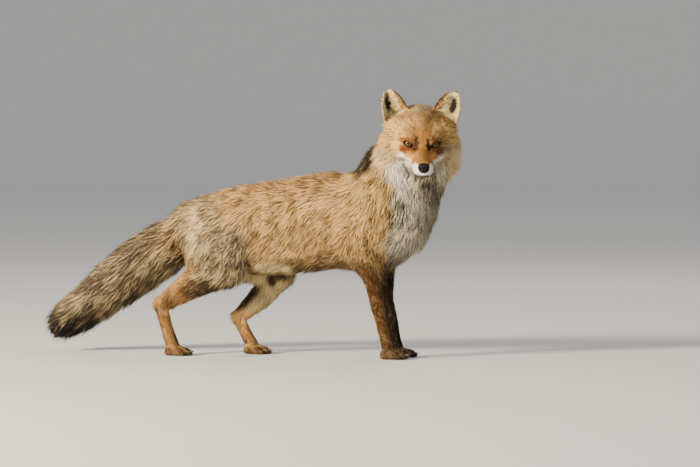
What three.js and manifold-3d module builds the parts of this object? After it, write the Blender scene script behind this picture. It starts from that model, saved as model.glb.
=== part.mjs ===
// A life-size red fox in its winter coat, standing on four paws with its head turned to its right.
// Millimetres. +X is the way the trunk points, +Y the fox's left, +Z up, and the paws stand on Z = 0.
//
// The body is one smooth field: strands of flesh and fur, each a line of knots with a radius at each
// knot, melt into each other. The surface where the field is zero is the outline of the coat.
// That surface is meshed once for each named part, at the fineness the part needs, and flat cuts
// with a thin gap part it from its neighbours.
import * as THREE from "three";
import { mergeVertices } from "three/addons/utils/BufferGeometryUtils.js";
import Module from "manifold-3d";

const wasm = await Module();
wasm.setup();

// ---- driving dimensions ----------------------------------------------------------------------

const GAP = 0.4; // between one part and the next
const SPLINE_STEPS = 4; // straight pieces between two knots of a strand
const BODY_CELL = 27; // how fine each stretch of the coat is meshed
const LEG_CELL = 17;
const HEAD_CELL = 13.6;
const PAW_CELL = 13;
const HEAD_TURN = THREE.MathUtils.degToRad(-68.2); // to the fox's right
const HEAD_DIP = THREE.MathUtils.degToRad(16); // nose down
const HEAD_TILT = THREE.MathUtils.degToRad(2); // left ear a little lower
const BETWEEN_EYES = new THREE.Vector3(328.3, -72.6, 425.2); // where the head's own frame starts
const EYE = { forward: 4, apart: 25.5, up: 3, radius: 10.5 };
const NOSE = { forward: 77, up: -24.5, long: 8.5, wide: 11.4, high: 10.2 };
const EAR = { wide: 30.5, thick: 4.2, cup: 13, around: 12, along: 8 };
const TOE = { long: 17, wide: 6.6, high: 9.2, centre: 7.2, slope: 0.16 };
const CLAW = { long: 14, radius: 2.2, centre: 6.6, slope: 0.35 };
const TOES = [
  { out: -15, reach: 24 },
  { out: -5.3, reach: 33 },
  { out: 5.3, reach: 33 },
  { out: 15, reach: 24 },
];

// ---- the coat's colours ----------------------------------------------------------------------

const finish = (colour, roughness) => ({ colour, roughness });
const TAN = finish("#b98d57", 0.9);
const GREY = finish("#9d8a74", 0.9);
const FACE = finish("#c08a4e", 0.85);
const DARK = finish("#4a3527", 0.85);
const BRUSH = finish("#7d6c5a", 0.92);
const PALE = finish("#d8cdb8", 0.9);
const AMBER = finish("#8a5a1c", 0.08);
const NOSE_BLACK = finish("#141112", 0.35);

// ---- frames and strands ----------------------------------------------------------------------

const LEFT = new THREE.Vector3(0, 1, 0);
const point = (x, y, z) => new THREE.Vector3(x, y, z);

// The head's own frame: x towards the nose, y to the fox's left, z up, from between the eyes.
const headFrame = new THREE.Matrix4()
  .makeRotationFromEuler(new THREE.Euler(-HEAD_TILT, HEAD_DIP, HEAD_TURN, "ZYX"))
  .setPosition(BETWEEN_EYES);
const inHead = (forward, left, up) => point(forward, left, up).applyMatrix4(headFrame);
const HEAD_LEFT = LEFT.clone().transformDirection(headFrame);

// A strand: knots [x, y, z, radius] joined by a smooth curve. "wide" squeezes it sideways, and
// "melt" is how far, in millimetres, it blends into what it meets.
function strand(knots, { wide = 1, melt = 20, side = LEFT, place = point } = {}) {
  const centres = knots.map(([x, y, z]) => place(x, y, z));
  const radii = knots.map(([, , , r]) => point(r, 0, 0));
  const steps = (knots.length - 1) * SPLINE_STEPS;
  const line = new THREE.CatmullRomCurve3(centres).getPoints(steps);
  const swell = new THREE.CatmullRomCurve3(radii).getPoints(steps);
  const pieces = line.slice(1).map((end, i) => ({
    start: line[i],
    way: end.clone().sub(line[i]),
    from: swell[i].x,
    to: swell[i + 1].x,
  }));
  return { pieces, wide, melt, side };
}

const offset = new THREE.Vector3();
// Distance from p to a strand's skin: to the nearest of its pieces, less the radius there.
function strandDistance(s, p) {
  let nearest = Infinity;
  for (const piece of s.pieces) {
    offset.subVectors(p, piece.start);
    const along = offset.dot(piece.way) / piece.way.lengthSq();
    const t = THREE.MathUtils.clamp(along, 0, 1);
    offset.addScaledVector(piece.way, -t);
    offset.addScaledVector(s.side, offset.dot(s.side) * (1 / s.wide - 1));
    nearest = Math.min(nearest, offset.length() - THREE.MathUtils.lerp(piece.from, piece.to, t));
  }
  return nearest;
}

// The smaller of two distances, rounded off where they are within k of each other.
function melted(a, b, k) {
  const h = Math.max(k - Math.abs(a - b), 0) / k;
  return Math.min(a, b) - (h * h * k) / 4;
}

// ---- the body --------------------------------------------------------------------------------

// Both sides of the head: the same knots on the right and on the left.
const onBothSides = (knots, how) =>
  [-1, 1].map((s) =>
    strand(knots.map(([f, l, u, r]) => [f, s * l, u, r]), { ...how, side: HEAD_LEFT, place: inHead }),
  );

const trunk = [
  strand(
    [
      [-166, 0, 262, 46],
      [-125, 0, 252, 74],
      [-50, 0, 253, 92],
      [40, 0, 261, 98],
      [130, 0, 272, 100],
      [200, 0, 268, 94],
    ],
    { wide: 0.72, melt: 10 },
  ),
  strand(
    [
      [195, 0, 266, 86],
      [238, 0, 262, 74],
      [262, 0, 262, 58],
    ],
    { wide: 0.84, melt: 30 },
  ),
];

const neck = [
  strand(
    [
      [205, 0, 275, 92],
      [250, 2, 338, 86],
      [292, 4, 392, 80],
      [304, 0, 428, 66],
    ],
    { wide: 0.86, melt: 26 },
  ),
  strand(
    [
      [262, -6, 372, 66],
      [282, -4, 318, 62],
      [262, 0, 278, 56],
    ],
    { wide: 0.9, melt: 24 },
  ),
];

const tail = [
  strand(
    [
      [-160, 0, 262, 44],
      [-231, 3, 217, 57],
      [-307, 8, 167, 55],
      [-376, 15, 117, 48],
      [-430, 20, 80, 40],
      [-462, 23, 60, 26],
    ],
    { wide: 0.94, melt: 24 },
  ),
];

const head = [
  strand(
    [
      [-68, 0, 12, 50],
      [-46, 0, 11, 47],
      [-24, 0, 3, 37],
      [-5, 0, -7, 28],
    ],
    { wide: 1.12, melt: 26, side: HEAD_LEFT, place: inHead },
  ),
  strand(
    [
      [-14, 0, -14, 30],
      [18, 0, -20, 23],
      [46, 0, -26, 18.5],
      [68, 0, -30, 15.5],
    ],
    { melt: 14, side: HEAD_LEFT, place: inHead },
  ),
  strand(
    [
      [-30, 0, -41, 24],
      [18, 0, -42, 14],
      [56, 0, -43, 9],
    ],
    { wide: 1.15, melt: 8, side: HEAD_LEFT, place: inHead },
  ),
  // the cheeks' ruff, and the pads that the whiskers grow from
  ...onBothSides(
    [
      [-38, 42, 14, 28],
      [-46, 44, -8, 33],
      [-54, 46, -28, 35],
      [-60, 50, -46, 30],
    ],
    { melt: 20 },
  ),
  ...onBothSides(
    [
      [44, 10, -30, 13],
      [66, 8.5, -29.5, 12],
    ],
    { melt: 7 },
  ),
  // the brows above the eyes, and the cheekbones below them
  ...onBothSides(
    [
      [-22, 30, 8, 24],
      [-6, 27, 10, 17],
      [8, 20, 9, 11],
    ],
    { melt: 10 },
  ),
  ...onBothSides(
    [
      [-16, 34, -14, 22],
      [4, 30, -13, 15],
      [24, 20, -17, 11],
    ],
    { melt: 10 },
  ),
];

// The ball of a foot on the floor. Its toes are solids of their own, joined on further down.
const ball = (x, y) =>
  strand(
    [
      [x - 3, y, 9, 13.5],
      [x + 10, y, 7.5, 13],
    ],
    { wide: 1.3, melt: 5 },
  );

// A foreleg from the point of the shoulder to the ball of the foot.
const foreleg = (knots) => [
  strand(knots.slice(0, 3), { wide: 0.6, melt: 24 }),
  strand(knots.slice(2), { wide: 0.86, melt: 8 }),
];
const FOREPAW = { right: [249, -38], left: [244, 37] };
const forelegs = {
  right: foreleg([
    [212, -36, 268, 58],
    [208, -44, 228, 44],
    [213, -45, 198, 35],
    [224, -43, 160, 26],
    [229, -40, 112, 17.5],
    [238, -38, 70, 14],
    [244, -38, 42, 12.5],
    [FOREPAW.right[0], FOREPAW.right[1], 18, 14.5],
  ]),
  left: foreleg([
    [208, 36, 268, 58],
    [202, 44, 228, 44],
    [205, 45, 198, 35],
    [212, 42, 160, 26],
    [220, 39, 115, 17.5],
    [232, 37, 76, 14],
    [239, 37, 42, 12.5],
    [FOREPAW.left[0], FOREPAW.left[1], 18, 14.5],
  ]),
};

// A hind leg: the haunch, the shank down to the hock, and the long foot below it.
const hindleg = (haunch, shank, foot) => [
  strand(haunch, { wide: 0.46, melt: 22 }),
  strand(shank, { wide: 0.62, melt: 14 }),
  strand(foot, { wide: 0.9, melt: 6 }),
];
const HINDPAW = { right: [-200, -50], left: [-66, 46] };
const HOCK = { right: point(-223, -51, 104), left: point(-92, 46, 76) };
const KNEE = { right: point(-128, -50, 159), left: point(-34, 46, 136) };
const hindlegs = {
  right: hindleg(
    [
      [-122, -32, 246, 60],
      [-106, -42, 206, 71],
      [-94, -48, 178, 42],
    ],
    [
      [-96, -48, 176, 40],
      [-160, -52, 141, 31],
      [-222, -51, 104, 17],
    ],
    [
      [-224, -51, 104, 16.5],
      [-214, -50, 62, 13.5],
      [HINDPAW.right[0], HINDPAW.right[1], 20, 15],
    ],
  ),
  left: hindleg(
    [
      [-118, 32, 242, 60],
      [-66, 42, 208, 60],
      [-12, 46, 170, 38],
    ],
    [
      [-8, 46, 166, 37],
      [-45, 47, 118, 27],
      [-92, 46, 76, 16],
    ],
    [
      [-93, 46, 76, 15.5],
      [-81, 46, 48, 13],
      [HINDPAW.left[0], HINDPAW.left[1], 20, 14.5],
    ],
  ),
};

const strands = [
  ...trunk,
  ...neck,
  ...tail,
  ...head,
  ...forelegs.right,
  ...forelegs.left,
  ...hindlegs.right,
  ...hindlegs.left,
  ball(...FOREPAW.right),
  ball(...FOREPAW.left),
  ball(...HINDPAW.right),
  ball(...HINDPAW.left),
];

const coatField = (p) =>
  strands.reduce((nearest, s) => melted(nearest, strandDistance(s, p), s.melt), 1e3);

// ---- meshing a field -------------------------------------------------------------------------

const CORNERS = [0, 1, 2, 3, 4, 5, 6, 7].map((n) => [n & 1, (n >> 1) & 1, n >> 2]);
const EDGES = CORNERS.flatMap((a, i) =>
  CORNERS.map((b, j) => [i, j]).filter(
    ([, j]) => j > i && a.reduce((sum, v, k) => sum + Math.abs(v - CORNERS[j][k]), 0) === 1,
  ),
);
const FACES = [0, 1, 2].flatMap((axis) =>
  [0, 1].map((side) =>
    EDGES.flatMap((ends, edge) => (ends.every((c) => CORNERS[c][axis] === side) ? [edge] : [])),
  ),
);
const PROBE = 0.5; // for measuring which way the field grows

function slopeAt(field, p, into) {
  return into
    .fromArray(
      ["x", "y", "z"].map((axis) => {
        const ahead = p.clone();
        const behind = p.clone();
        ahead[axis] += PROBE;
        behind[axis] -= PROBE;
        return field(ahead) - field(behind);
      }),
    )
    .divideScalar(2 * PROBE);
}

// Which of a cell's crossed edges lie on one sheet: on each face the surface joins them in pairs,
// and where it crosses all four edges of a face it goes round each inner corner.
function sheetOfEdges(v) {
  const crossed = EDGES.map(([a, b]) => v[a] < 0 !== v[b] < 0);
  const innerEnd = EDGES.map(([a, b]) => (v[a] < 0 ? a : b));
  const sheet = EDGES.map((_, edge) => edge);
  for (const face of FACES) {
    const edges = face.filter((edge) => crossed[edge]);
    for (const e of edges)
      for (const f of edges)
        if (edges.length === 2 || innerEnd[e] === innerEnd[f]) {
          const [from, to] = [sheet[f], sheet[e]];
          sheet.forEach((label, edge) => {
            if (label === from) sheet[edge] = to;
          });
        }
  }
  return sheet;
}

// The surface where a field is zero, as a net: one vertex for each sheet of it in a cell that it
// crosses, and one quad round each edge that it crosses. The vertices are then moved onto the
// surface itself.
function surfaceNet(field, least, most, cell) {
  const low = least.clone().divideScalar(cell).floor().multiplyScalar(cell); // neighbours' nets agree
  const size = most.clone().sub(low).divideScalar(cell).ceil().addScalar(3).toArray();
  const [nx, ny] = size;
  const at = (i, j, k) => i + nx * (j + ny * k);
  const placeOf = (i, j, k) => point(i - 1, j - 1, k - 1).multiplyScalar(cell).add(low);
  const value = new Float32Array(size[0] * size[1] * size[2]).fill(cell);
  const grid = (from, visit) => {
    for (let k = from; k < size[2] - 1; k++)
      for (let j = from; j < size[1] - 1; j++)
        for (let i = from; i < size[0] - 1; i++) visit(i, j, k);
  };
  grid(1, (i, j, k) => {
    value[at(i, j, k)] = field(placeOf(i, j, k));
  });

  const sheets = new Map();
  const vertices = [];
  grid(0, (i, j, k) => {
    const v = CORNERS.map(([a, b, c]) => value[at(i + a, j + b, k + c)]);
    if (v.every((x) => x < 0) || v.every((x) => x >= 0)) return;
    const sheet = sheetOfEdges(v);
    const crossings = new Map();
    EDGES.forEach(([a, b], edge) => {
      if (v[a] < 0 === v[b] < 0) return;
      if (!crossings.has(sheet[edge])) crossings.set(sheet[edge], []);
      const t = v[a] / (v[a] - v[b]);
      crossings.get(sheet[edge]).push(point(...CORNERS[a]).lerp(point(...CORNERS[b]), t));
    });
    const vertexOf = new Map();
    for (const [label, places] of crossings) {
      const middle = places.reduce((sum, p) => sum.add(p)).divideScalar(places.length);
      vertexOf.set(label, vertices.length);
      vertices.push(middle.multiplyScalar(cell).add(placeOf(i, j, k)));
    }
    sheets.set(at(i, j, k), (edge) => vertexOf.get(sheet[edge]));
  });

  const slope = new THREE.Vector3();
  for (const p of vertices)
    for (let pass = 0; pass < 3; pass++) {
      const off = field(p);
      slopeAt(field, p, slope);
      const move = off / Math.max(slope.lengthSq(), 0.2);
      if (Math.abs(off) < cell) p.addScaledVector(slope, -move);
    }

  const triangles = [];
  const steps = [1, nx, nx * ny];
  grid(0, (i, j, k) => {
    const here = at(i, j, k);
    steps.forEach((step, axis) => {
      const inside = value[here] < 0;
      if (inside === value[here + step] < 0) return;
      const [b, c] = [(axis + 1) % 3, (axis + 2) % 3];
      const quad = [[0, 0], [1, 0], [1, 1], [0, 1]].map(([m, n]) => {
        const vertexOfEdge = sheets.get(here - m * steps[b] - n * steps[c]);
        const near = (m << b) + (n << c);
        const far = near + (1 << axis);
        return vertexOfEdge(EDGES.findIndex((ends) => ends[0] === near && ends[1] === far));
      });
      if (!inside) quad.reverse();
      const [p, q, r, s] = quad.map((v) => vertices[v]);
      const split = p.distanceTo(r) < q.distanceTo(s) ? [0, 1, 2, 0, 2, 3] : [0, 1, 3, 1, 2, 3];
      triangles.push(...split.map((n) => quad[n]));
    });
  });

  const geometry = new THREE.BufferGeometry().setFromPoints(vertices);
  return geometry.setIndex(triangles);
}

// ---- solids, and cutting them ----------------------------------------------------------------

function solidOf(geometry) {
  const plain = geometry.clone();
  plain.deleteAttribute("normal");
  plain.deleteAttribute("uv");
  const merged = mergeVertices(plain, 1e-3);
  return new wasm.Manifold(
    new wasm.Mesh({
      numProp: 3,
      vertProperties: new Float32Array(merged.attributes.position.array),
      triVerts: new Uint32Array(merged.index.array),
    }),
  );
}

function geometryOf(solid) {
  const mesh = solid.getMesh();
  const places = new Float32Array(mesh.numVert * 3);
  for (let i = 0; i < mesh.numVert; i++)
    places.set(mesh.vertProperties.subarray(i * mesh.numProp, i * mesh.numProp + 3), i * 3);
  const geometry = new THREE.BufferGeometry();
  geometry.setAttribute("position", new THREE.BufferAttribute(places, 3));
  return geometry.setIndex([...mesh.triVerts]);
}

const REACH = 1600; // longer than the fox, so that a cut goes right through

// A flat cut: everything on the far side of a plane, from "clear" beyond it.
function beyond({ at, facing }, clear) {
  const away = facing.clone().normalize();
  const block = new THREE.BoxGeometry(REACH, REACH, REACH);
  const turn = new THREE.Quaternion().setFromUnitVectors(point(0, 0, 1), away);
  block.applyQuaternion(turn);
  const centre = at.clone().addScaledVector(away, REACH / 2 + clear);
  block.translate(centre.x, centre.y, centre.z);
  return solidOf(block);
}

const blockBetween = (low, high) => {
  const size = high.clone().sub(low);
  const block = new THREE.BoxGeometry(...size.toArray());
  const middle = low.clone().add(high).multiplyScalar(0.5);
  return solidOf(block.translate(...middle.toArray()));
};
const region = ({ cuts, low, high }, clear) =>
  cuts.reduce((all, flat) => all.intersect(beyond(flat, clear)), blockBetween(low, high));
const cut = (at, facing) => ({ at, facing });
const FLOOR = cut(point(0, 0, 0), point(0, 0, 1));

// ---- where the parts meet --------------------------------------------------------------------

// Each part: the flat cuts that bound it, its mesh cell, and the box it lies in. A part owns what
// its cuts enclose, less what the parts before it own.
const plan = [];
const addPart = (name, look, cell, cuts, low, high) =>
  plan.push({ name, look, cell, cuts, low: point(...low), high: point(...high) });

const headCut = (at, facing) => cut(inHead(...at), point(...facing).transformDirection(headFrame));
const backOfHead = headCut([-45, 0, -62], [0.42, 0, 0.9]);
const mouth = headCut([30, 0, -39.5], [-0.03, 0, -1]);
const jawHinge = headCut([2, 0, -44], [1, 0, 0.25]);
const jawCuts = [mouth, jawHinge, backOfHead];
addPart("lower_jaw", PALE, HEAD_CELL, jawCuts, [295, -175, 320], [400, -50, 420]);
addPart("head", FACE, HEAD_CELL, [backOfHead], [215, -180, 300], [450, 50, 520]);
const withers = cut(point(222, 0, 300), point(0.5, 0, 0.87));
addPart("neck", PALE, BODY_CELL, [withers], [100, -130, 200], [430, 130, 520]);

const SIDES = { right: -1, left: 1 };
for (const [side, s] of Object.entries(SIDES)) {
  const [x, y] = FOREPAW[side];
  const wrist = cut(point(x - 6, y, 36), point(0.1, 0, -1));
  const elbow = cut(point(215, 0, 176), point(0.2, s * 0.1, -1));
  const shoulder = cut(point(214, s * 22, 236), point(0, s * 0.95, -0.5));
  const behind = cut(point(158, 0, 236), point(1, 0, -0.15));
  const inner = cut(point(0, s * 6, 0), point(0, s, 0));
  addPart(`forepaw_${side}`, DARK, PAW_CELL, [wrist, inner], [x - 35, y - 32, 0], [x + 48, y + 32, 60]);
  addPart(`forearm_${side}`, DARK, LEG_CELL, [elbow, inner], [150, y - 60, 30], [290, y + 60, 200]);
  const [least, most] = s > 0 ? [0, 120] : [-120, 0];
  addPart(`upper_foreleg_${side}`, TAN, BODY_CELL, [shoulder, behind], [140, least, 120], [310, most, 330]);

  const hip = cut(point(-100, s * 26, 262), point(0, s * 0.93, -0.38));
  const rear = cut(point(-186, 0, 200), point(1, 0, 0));
  const flank = cut(point(side === "right" ? -22 : 24, 0, 190), point(-1, 0, -0.25));
  const knee = cut(KNEE[side], HOCK[side].clone().sub(KNEE[side]).negate());
  addPart(`thigh_${side}`, GREY, BODY_CELL, [hip, rear, flank, knee], [-210, least, 90], [60, most, 330]);
}

const underTail = cut(point(-210, 0, 149), point(-0.57, 0, 0.82));
const acrossTail = (x, z) => cut(point(x, 0, z), point(-0.83, 0.08, -0.56));
const midTail = [acrossTail(-288, 180), underTail];
const rootOfTail = [acrossTail(-186, 250), underTail];
addPart("tail_tip", PALE, BODY_CELL, [acrossTail(-392, 104)], [-520, -80, 0], [-300, 100, 220]);
addPart("tail_middle", BRUSH, BODY_CELL, midTail, [-460, -90, 30], [-200, 100, 280]);
addPart("tail_root", BRUSH, BODY_CELL, rootOfTail, [-360, -90, 90], [-100, 100, 340]);

for (const [side, s] of Object.entries(SIDES)) {
  const [x, y] = HINDPAW[side];
  const hock = HOCK[side];
  const inner = cut(point(0, s * 8, 0), point(0, s, 0));
  const shankWay = hock.clone().sub(KNEE[side]);
  const footWay = point(x, y, 20).sub(hock);
  const ankle = cut(point(x - 6, y, 36), point(0.25, 0, -1));
  const heel = cut(hock.clone().addScaledVector(footWay, 0.1), footWay.clone().add(shankWay));
  const groin = cut(point(0, 0, 190), point(0, 0, -1));
  const [least, most] = [hock.x - 45, hock.x + 90];
  addPart(`hindpaw_${side}`, DARK, PAW_CELL, [ankle, inner], [x - 30, y - 32, 0], [x + 48, y + 32, 60]);
  addPart(`hindfoot_${side}`, DARK, LEG_CELL, [heel, inner], [least, y - 40, 20], [most, y + 40, 130]);
  const knee = cut(KNEE[side], shankWay);
  const shankCuts = [inner, groin, knee];
  const shankHigh = [most + 90, y + 55, 220];
  addPart(`shank_${side}`, GREY, LEG_CELL, shankCuts, [least, y - 55, 60], shankHigh);
}

const loin = cut(point(-58, 0, 0), point(-1, 0, 0));
const lastRib = cut(point(112, 0, 0), point(-1, 0, 0));
addPart("hindquarters", GREY, BODY_CELL, [loin], [-230, -120, 120], [-30, 120, 380]);
addPart("abdomen", TAN, BODY_CELL, [lastRib], [-80, -120, 120], [140, 120, 400]);
addPart("chest", TAN, BODY_CELL, [], [90, -120, 120], [340, 120, 420]);

// ---- ears, eyes and nose ---------------------------------------------------------------------

const EAR_ROOT = point(-52, 46, 36);
const EAR_TIP = point(-70, 68, 92.5);

// One ear of the right or left side, in the head's frame: a cupped leaf with a rounded tip, as a
// closed shell. Going along, its half width first swells and then shrinks to the tip; going
// around, the back of the leaf and then its hollow front close on each other at the rim.
function earShell(s) {
  const { wide, thick, cup, around, along } = EAR;
  const axis = EAR_TIP.clone().sub(EAR_ROOT);
  const start = EAR_ROOT.clone().addScaledVector(axis, -0.22);
  const across = point(0.42, 0.86, -0.3).cross(axis).cross(axis).negate().normalize();
  const facing = across.clone().cross(axis).normalize();
  if (facing.x < 0) facing.negate();
  const rings = [];
  for (let i = 0; i <= along; i++) {
    const t = i / along;
    const round = Math.sqrt(1 - t ** 3);
    const half = wide * (1 - t ** 2.4) ** 0.7 + 0.5;
    const deep = cup * round * (1 - 0.35 * t);
    const middle = start.clone().addScaledVector(axis, 1.22 * (1 - (1 - t) ** 1.15));
    for (let j = 0; j < around; j++) {
      const turn = (2 * Math.PI * j) / around;
      const v = Math.cos(turn);
      const wall = (thick / 2) * Math.sin(turn) * (0.35 + 0.65 * round);
      const bow = deep * (v * v - 0.5) + wall;
      rings.push(middle.clone().addScaledVector(across, half * v).addScaledVector(facing, bow));
    }
  }
  const base = rings.length;
  const root = new THREE.Vector3();
  const tip = new THREE.Vector3();
  for (let j = 0; j < around; j++) {
    root.addScaledVector(rings[j], 1 / around);
    tip.addScaledVector(rings[along * around + j], 1 / around);
  }
  rings.push(root, tip);
  const faces = [];
  for (let j = 0; j < around; j++) {
    const next = (j + 1) % around;
    for (let i = 0; i < along; i++) {
      const [a, b] = [i * around + j, i * around + next];
      const [c, d] = [b + around, a + around];
      faces.push(a, b, c, a, c, d);
    }
    faces.push(base, next, j, base + 1, along * around + j, along * around + next);
  }
  const places = rings.map((p) => inHead(p.x, s * p.y, p.z));
  const geometry = new THREE.BufferGeometry().setFromPoints(places).setIndex(faces);
  const solid = solidOf(geometry);
  if (solid.volume() > 0) return solid;
  for (let i = 0; i < faces.length; i += 3) [faces[i], faces[i + 1]] = [faces[i + 1], faces[i]];
  return solidOf(geometry.setIndex(faces));
}

function ellipsoid(centre, long, wide, high, rings = 6) {
  const ball = new THREE.SphereGeometry(1, rings * 2, rings);
  ball.scale(long, wide, high).applyMatrix4(new THREE.Matrix4().makeTranslation(centre));
  return solidOf(ball.applyMatrix4(headFrame));
}
const eyeball = (s, grow = 0) => {
  const r = EYE.radius + grow;
  return ellipsoid(point(EYE.forward, s * EYE.apart, EYE.up), r, r, r);
};
// The socket: the eyeball's own hollow, and the gap between the lids that lets it look out.
const lidGap = (s) => ellipsoid(point(EYE.forward + 20, s * (EYE.apart + 5), EYE.up + 4), 7, 12, 7, 4);
const socket = (s) => wasm.Manifold.hull([eyeball(s, GAP), lidGap(s)]);
const noseLeather = (grow = 0) =>
  ellipsoid(point(NOSE.forward, 0, NOSE.up), NOSE.long + grow, NOSE.wide + grow, NOSE.high + grow);

// ---- toes and claws --------------------------------------------------------------------------

// Four toes of a foot whose ball is at x, y: each an egg lying on the floor with a claw at its end.
function toes(x, y) {
  return TOES.flatMap(({ out, reach }) => {
    const toe = new THREE.SphereGeometry(1, 6, 4).rotateX(Math.PI / 2);
    toe.scale(TOE.long, TOE.wide, TOE.high).rotateY(TOE.slope);
    toe.translate(x + reach - 0.6 * TOE.long, y + out, TOE.centre);
    const claw = new THREE.ConeGeometry(CLAW.radius, CLAW.long, 5).rotateZ(-Math.PI / 2);
    claw.rotateY(CLAW.slope).translate(x + reach + 0.62 * CLAW.long, y + out, CLAW.centre);
    return [solidOf(toe), solidOf(claw)];
  });
}

// ---- building --------------------------------------------------------------------------------

const fox = new THREE.Group();
function addMesh(name, solid, { colour, roughness }) {
  const material = new THREE.MeshStandardMaterial({ color: colour, roughness, metalness: 0 });
  const mesh = new THREE.Mesh(geometryOf(solid), material);
  mesh.name = name;
  fox.add(mesh);
}

// The largest of a solid's separate bodies: a cut can leave a sliver of its neighbour.
function mainBody(solid) {
  if (solid.isEmpty()) return solid;
  return solid.decompose().reduce((best, body) => (body.volume() > best.volume() ? body : best));
}

const aboveFloor = beyond(FLOOR, 0);
const paws = {
  forepaw_right: FOREPAW.right,
  forepaw_left: FOREPAW.left,
  hindpaw_right: HINDPAW.right,
  hindpaw_left: HINDPAW.left,
};
const taken = [];
for (const part of plan) {
  const { name, look, cell, low, high } = part;
  let solid = solidOf(surfaceNet(coatField, low, high, cell));
  solid = solid.intersect(region(part, GAP / 2)).intersect(aboveFloor);
  for (const earlier of taken) solid = solid.subtract(earlier);
  taken.push(region(part, -GAP / 2));
  if (name === "head")
    for (const hollow of [socket(-1), socket(1)]) solid = solid.subtract(hollow);
  if (name === "head" || name === "lower_jaw") solid = solid.subtract(noseLeather(GAP));
  solid = mainBody(solid);
  if (paws[name]) for (const toe of toes(...paws[name])) solid = solid.add(toe.intersect(aboveFloor));
  addMesh(name, solid, look);
}

addMesh("nose", noseLeather(), NOSE_BLACK);
const [headLow, headHigh] = [point(215, -180, 300), point(450, 50, 520)];
const headWithGap = solidOf(surfaceNet((p) => coatField(p) - GAP, headLow, headHigh, HEAD_CELL));
for (const [side, s] of Object.entries(SIDES)) {
  addMesh(`eye_${side}`, eyeball(s), AMBER);
  addMesh(`ear_${side}`, mainBody(earShell(s).subtract(headWithGap)), FACE);
}

// The part's own frame starts on the floor, under the middle of it all.
const bounds = new THREE.Box3().setFromObject(fox);
const middle = bounds.getCenter(new THREE.Vector3());
for (const mesh of fox.children) mesh.geometry.translate(-middle.x, -middle.y, 0);

export default fox;
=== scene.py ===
# %% [markdown]
# # A red fox in its winter coat
#
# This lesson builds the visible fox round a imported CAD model. The CAD solids give the outline of
# the coat. Here we add what the eye wants: one skin a coat's depth further in, and over it more
# than a hundred thousand tufts of solid mesh, with glass eyes, a leather nose, claws and whiskers.
#
# Everything is measured in the fox's own millimetres and turned into metres at the last moment.

import functools
import math

import bmesh
import bpy
import numpy as np
from mathutils import Matrix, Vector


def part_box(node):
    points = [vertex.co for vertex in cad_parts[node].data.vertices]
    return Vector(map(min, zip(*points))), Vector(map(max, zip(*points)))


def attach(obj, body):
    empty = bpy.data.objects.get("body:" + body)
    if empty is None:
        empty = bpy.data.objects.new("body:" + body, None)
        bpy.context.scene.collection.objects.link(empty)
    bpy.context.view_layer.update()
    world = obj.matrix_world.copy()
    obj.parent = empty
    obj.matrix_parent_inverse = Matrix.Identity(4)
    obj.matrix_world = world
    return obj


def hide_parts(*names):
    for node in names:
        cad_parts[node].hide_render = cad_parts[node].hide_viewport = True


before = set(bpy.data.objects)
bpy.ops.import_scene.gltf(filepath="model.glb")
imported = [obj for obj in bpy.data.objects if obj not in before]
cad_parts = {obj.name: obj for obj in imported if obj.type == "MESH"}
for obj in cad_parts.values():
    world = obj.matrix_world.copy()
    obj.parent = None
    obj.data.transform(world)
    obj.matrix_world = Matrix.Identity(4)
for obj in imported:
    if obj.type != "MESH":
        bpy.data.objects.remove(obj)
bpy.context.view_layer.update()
print("CAD nodes:", len(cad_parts))


# %% [markdown]
# ## Small helpers
#
# Most of the lesson is arithmetic on whole arrays of points, one row for each point. A few
# functions turn up everywhere: unit vectors, soft steps for the edges of markings, and a cheap
# smooth noise. The noise adds a dozen sine waves that run in random directions. Perlin noise
# would do as well, but waves are two lines of numpy and have no grid.

# %% Helpers
SIDES = (-1, 1)  # the fox's right and left, as mirrors of one shape
WAVE_COUNT = 12


def unit(v):
    """Each row divided by its length."""
    return v / np.maximum(np.linalg.norm(v, axis=-1, keepdims=True), 1e-9)


def step(x, low, high):
    """0 below low, 1 above high, and the smooth cubic 3t^2 - 2t^3 between them."""
    t = np.clip((x - low) / (high - low), 0, 1)
    return t * t * (3 - 2 * t)


def waves(p, length, seed):
    """Smooth noise from about -1 to 1: sine waves of about one length, added up and scaled."""
    dice = np.random.default_rng(seed)
    ways = unit(dice.normal(size=(WAVE_COUNT, 3)))
    ways = ways * (2 * np.pi / (length * dice.uniform(0.7, 1.5, (WAVE_COUNT, 1))))
    total = np.sin(p @ ways.T + dice.uniform(0, 2 * np.pi, WAVE_COUNT)).sum(1)
    return total / math.sqrt(WAVE_COUNT / 2) / 1.6


def wave_vector(p, length, seeds):
    """Two or three such noises side by side, one for each seed."""
    return np.stack([waves(p, length, seed) for seed in seeds], 1)


def linear(hexcode):
    """A colour as painters write it, #rrggbb, as the light that it reflects."""
    c = np.array([int(hexcode[i : i + 2], 16) for i in (1, 3, 5)]) / 255
    return np.where(c <= 0.04045, c / 12.92, ((c + 0.055) / 1.055) ** 2.4)


print("halfway step:", step(np.array([0.5]), 0, 1)[0])


# %% [markdown]
# ## The head's own frame
#
# The head is turned to the fox's right, nose a little down. It is easiest to shape in a frame of
# its own: forward to the nose, left, and up, from a point between the eyes. Three plain turns
# multiplied together take that frame to the body's.

# %% Head frame
def turn_about(axis, angle):
    """The rotation matrix about one of the three axes."""
    c, s = math.cos(angle), math.sin(angle)
    i, j = (axis + 1) % 3, (axis + 2) % 3
    m = np.eye(3)
    m[i, i] = m[j, j] = c
    m[i, j], m[j, i] = -s, s
    return m


HEAD_TURN, HEAD_DIP, HEAD_TILT = math.radians(-68.2), math.radians(16), math.radians(2)
HEAD = turn_about(2, HEAD_TURN) @ turn_about(1, HEAD_DIP) @ turn_about(0, -HEAD_TILT)
BETWEEN_EYES = np.array([328.3, -72.6, 425.2])


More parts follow.
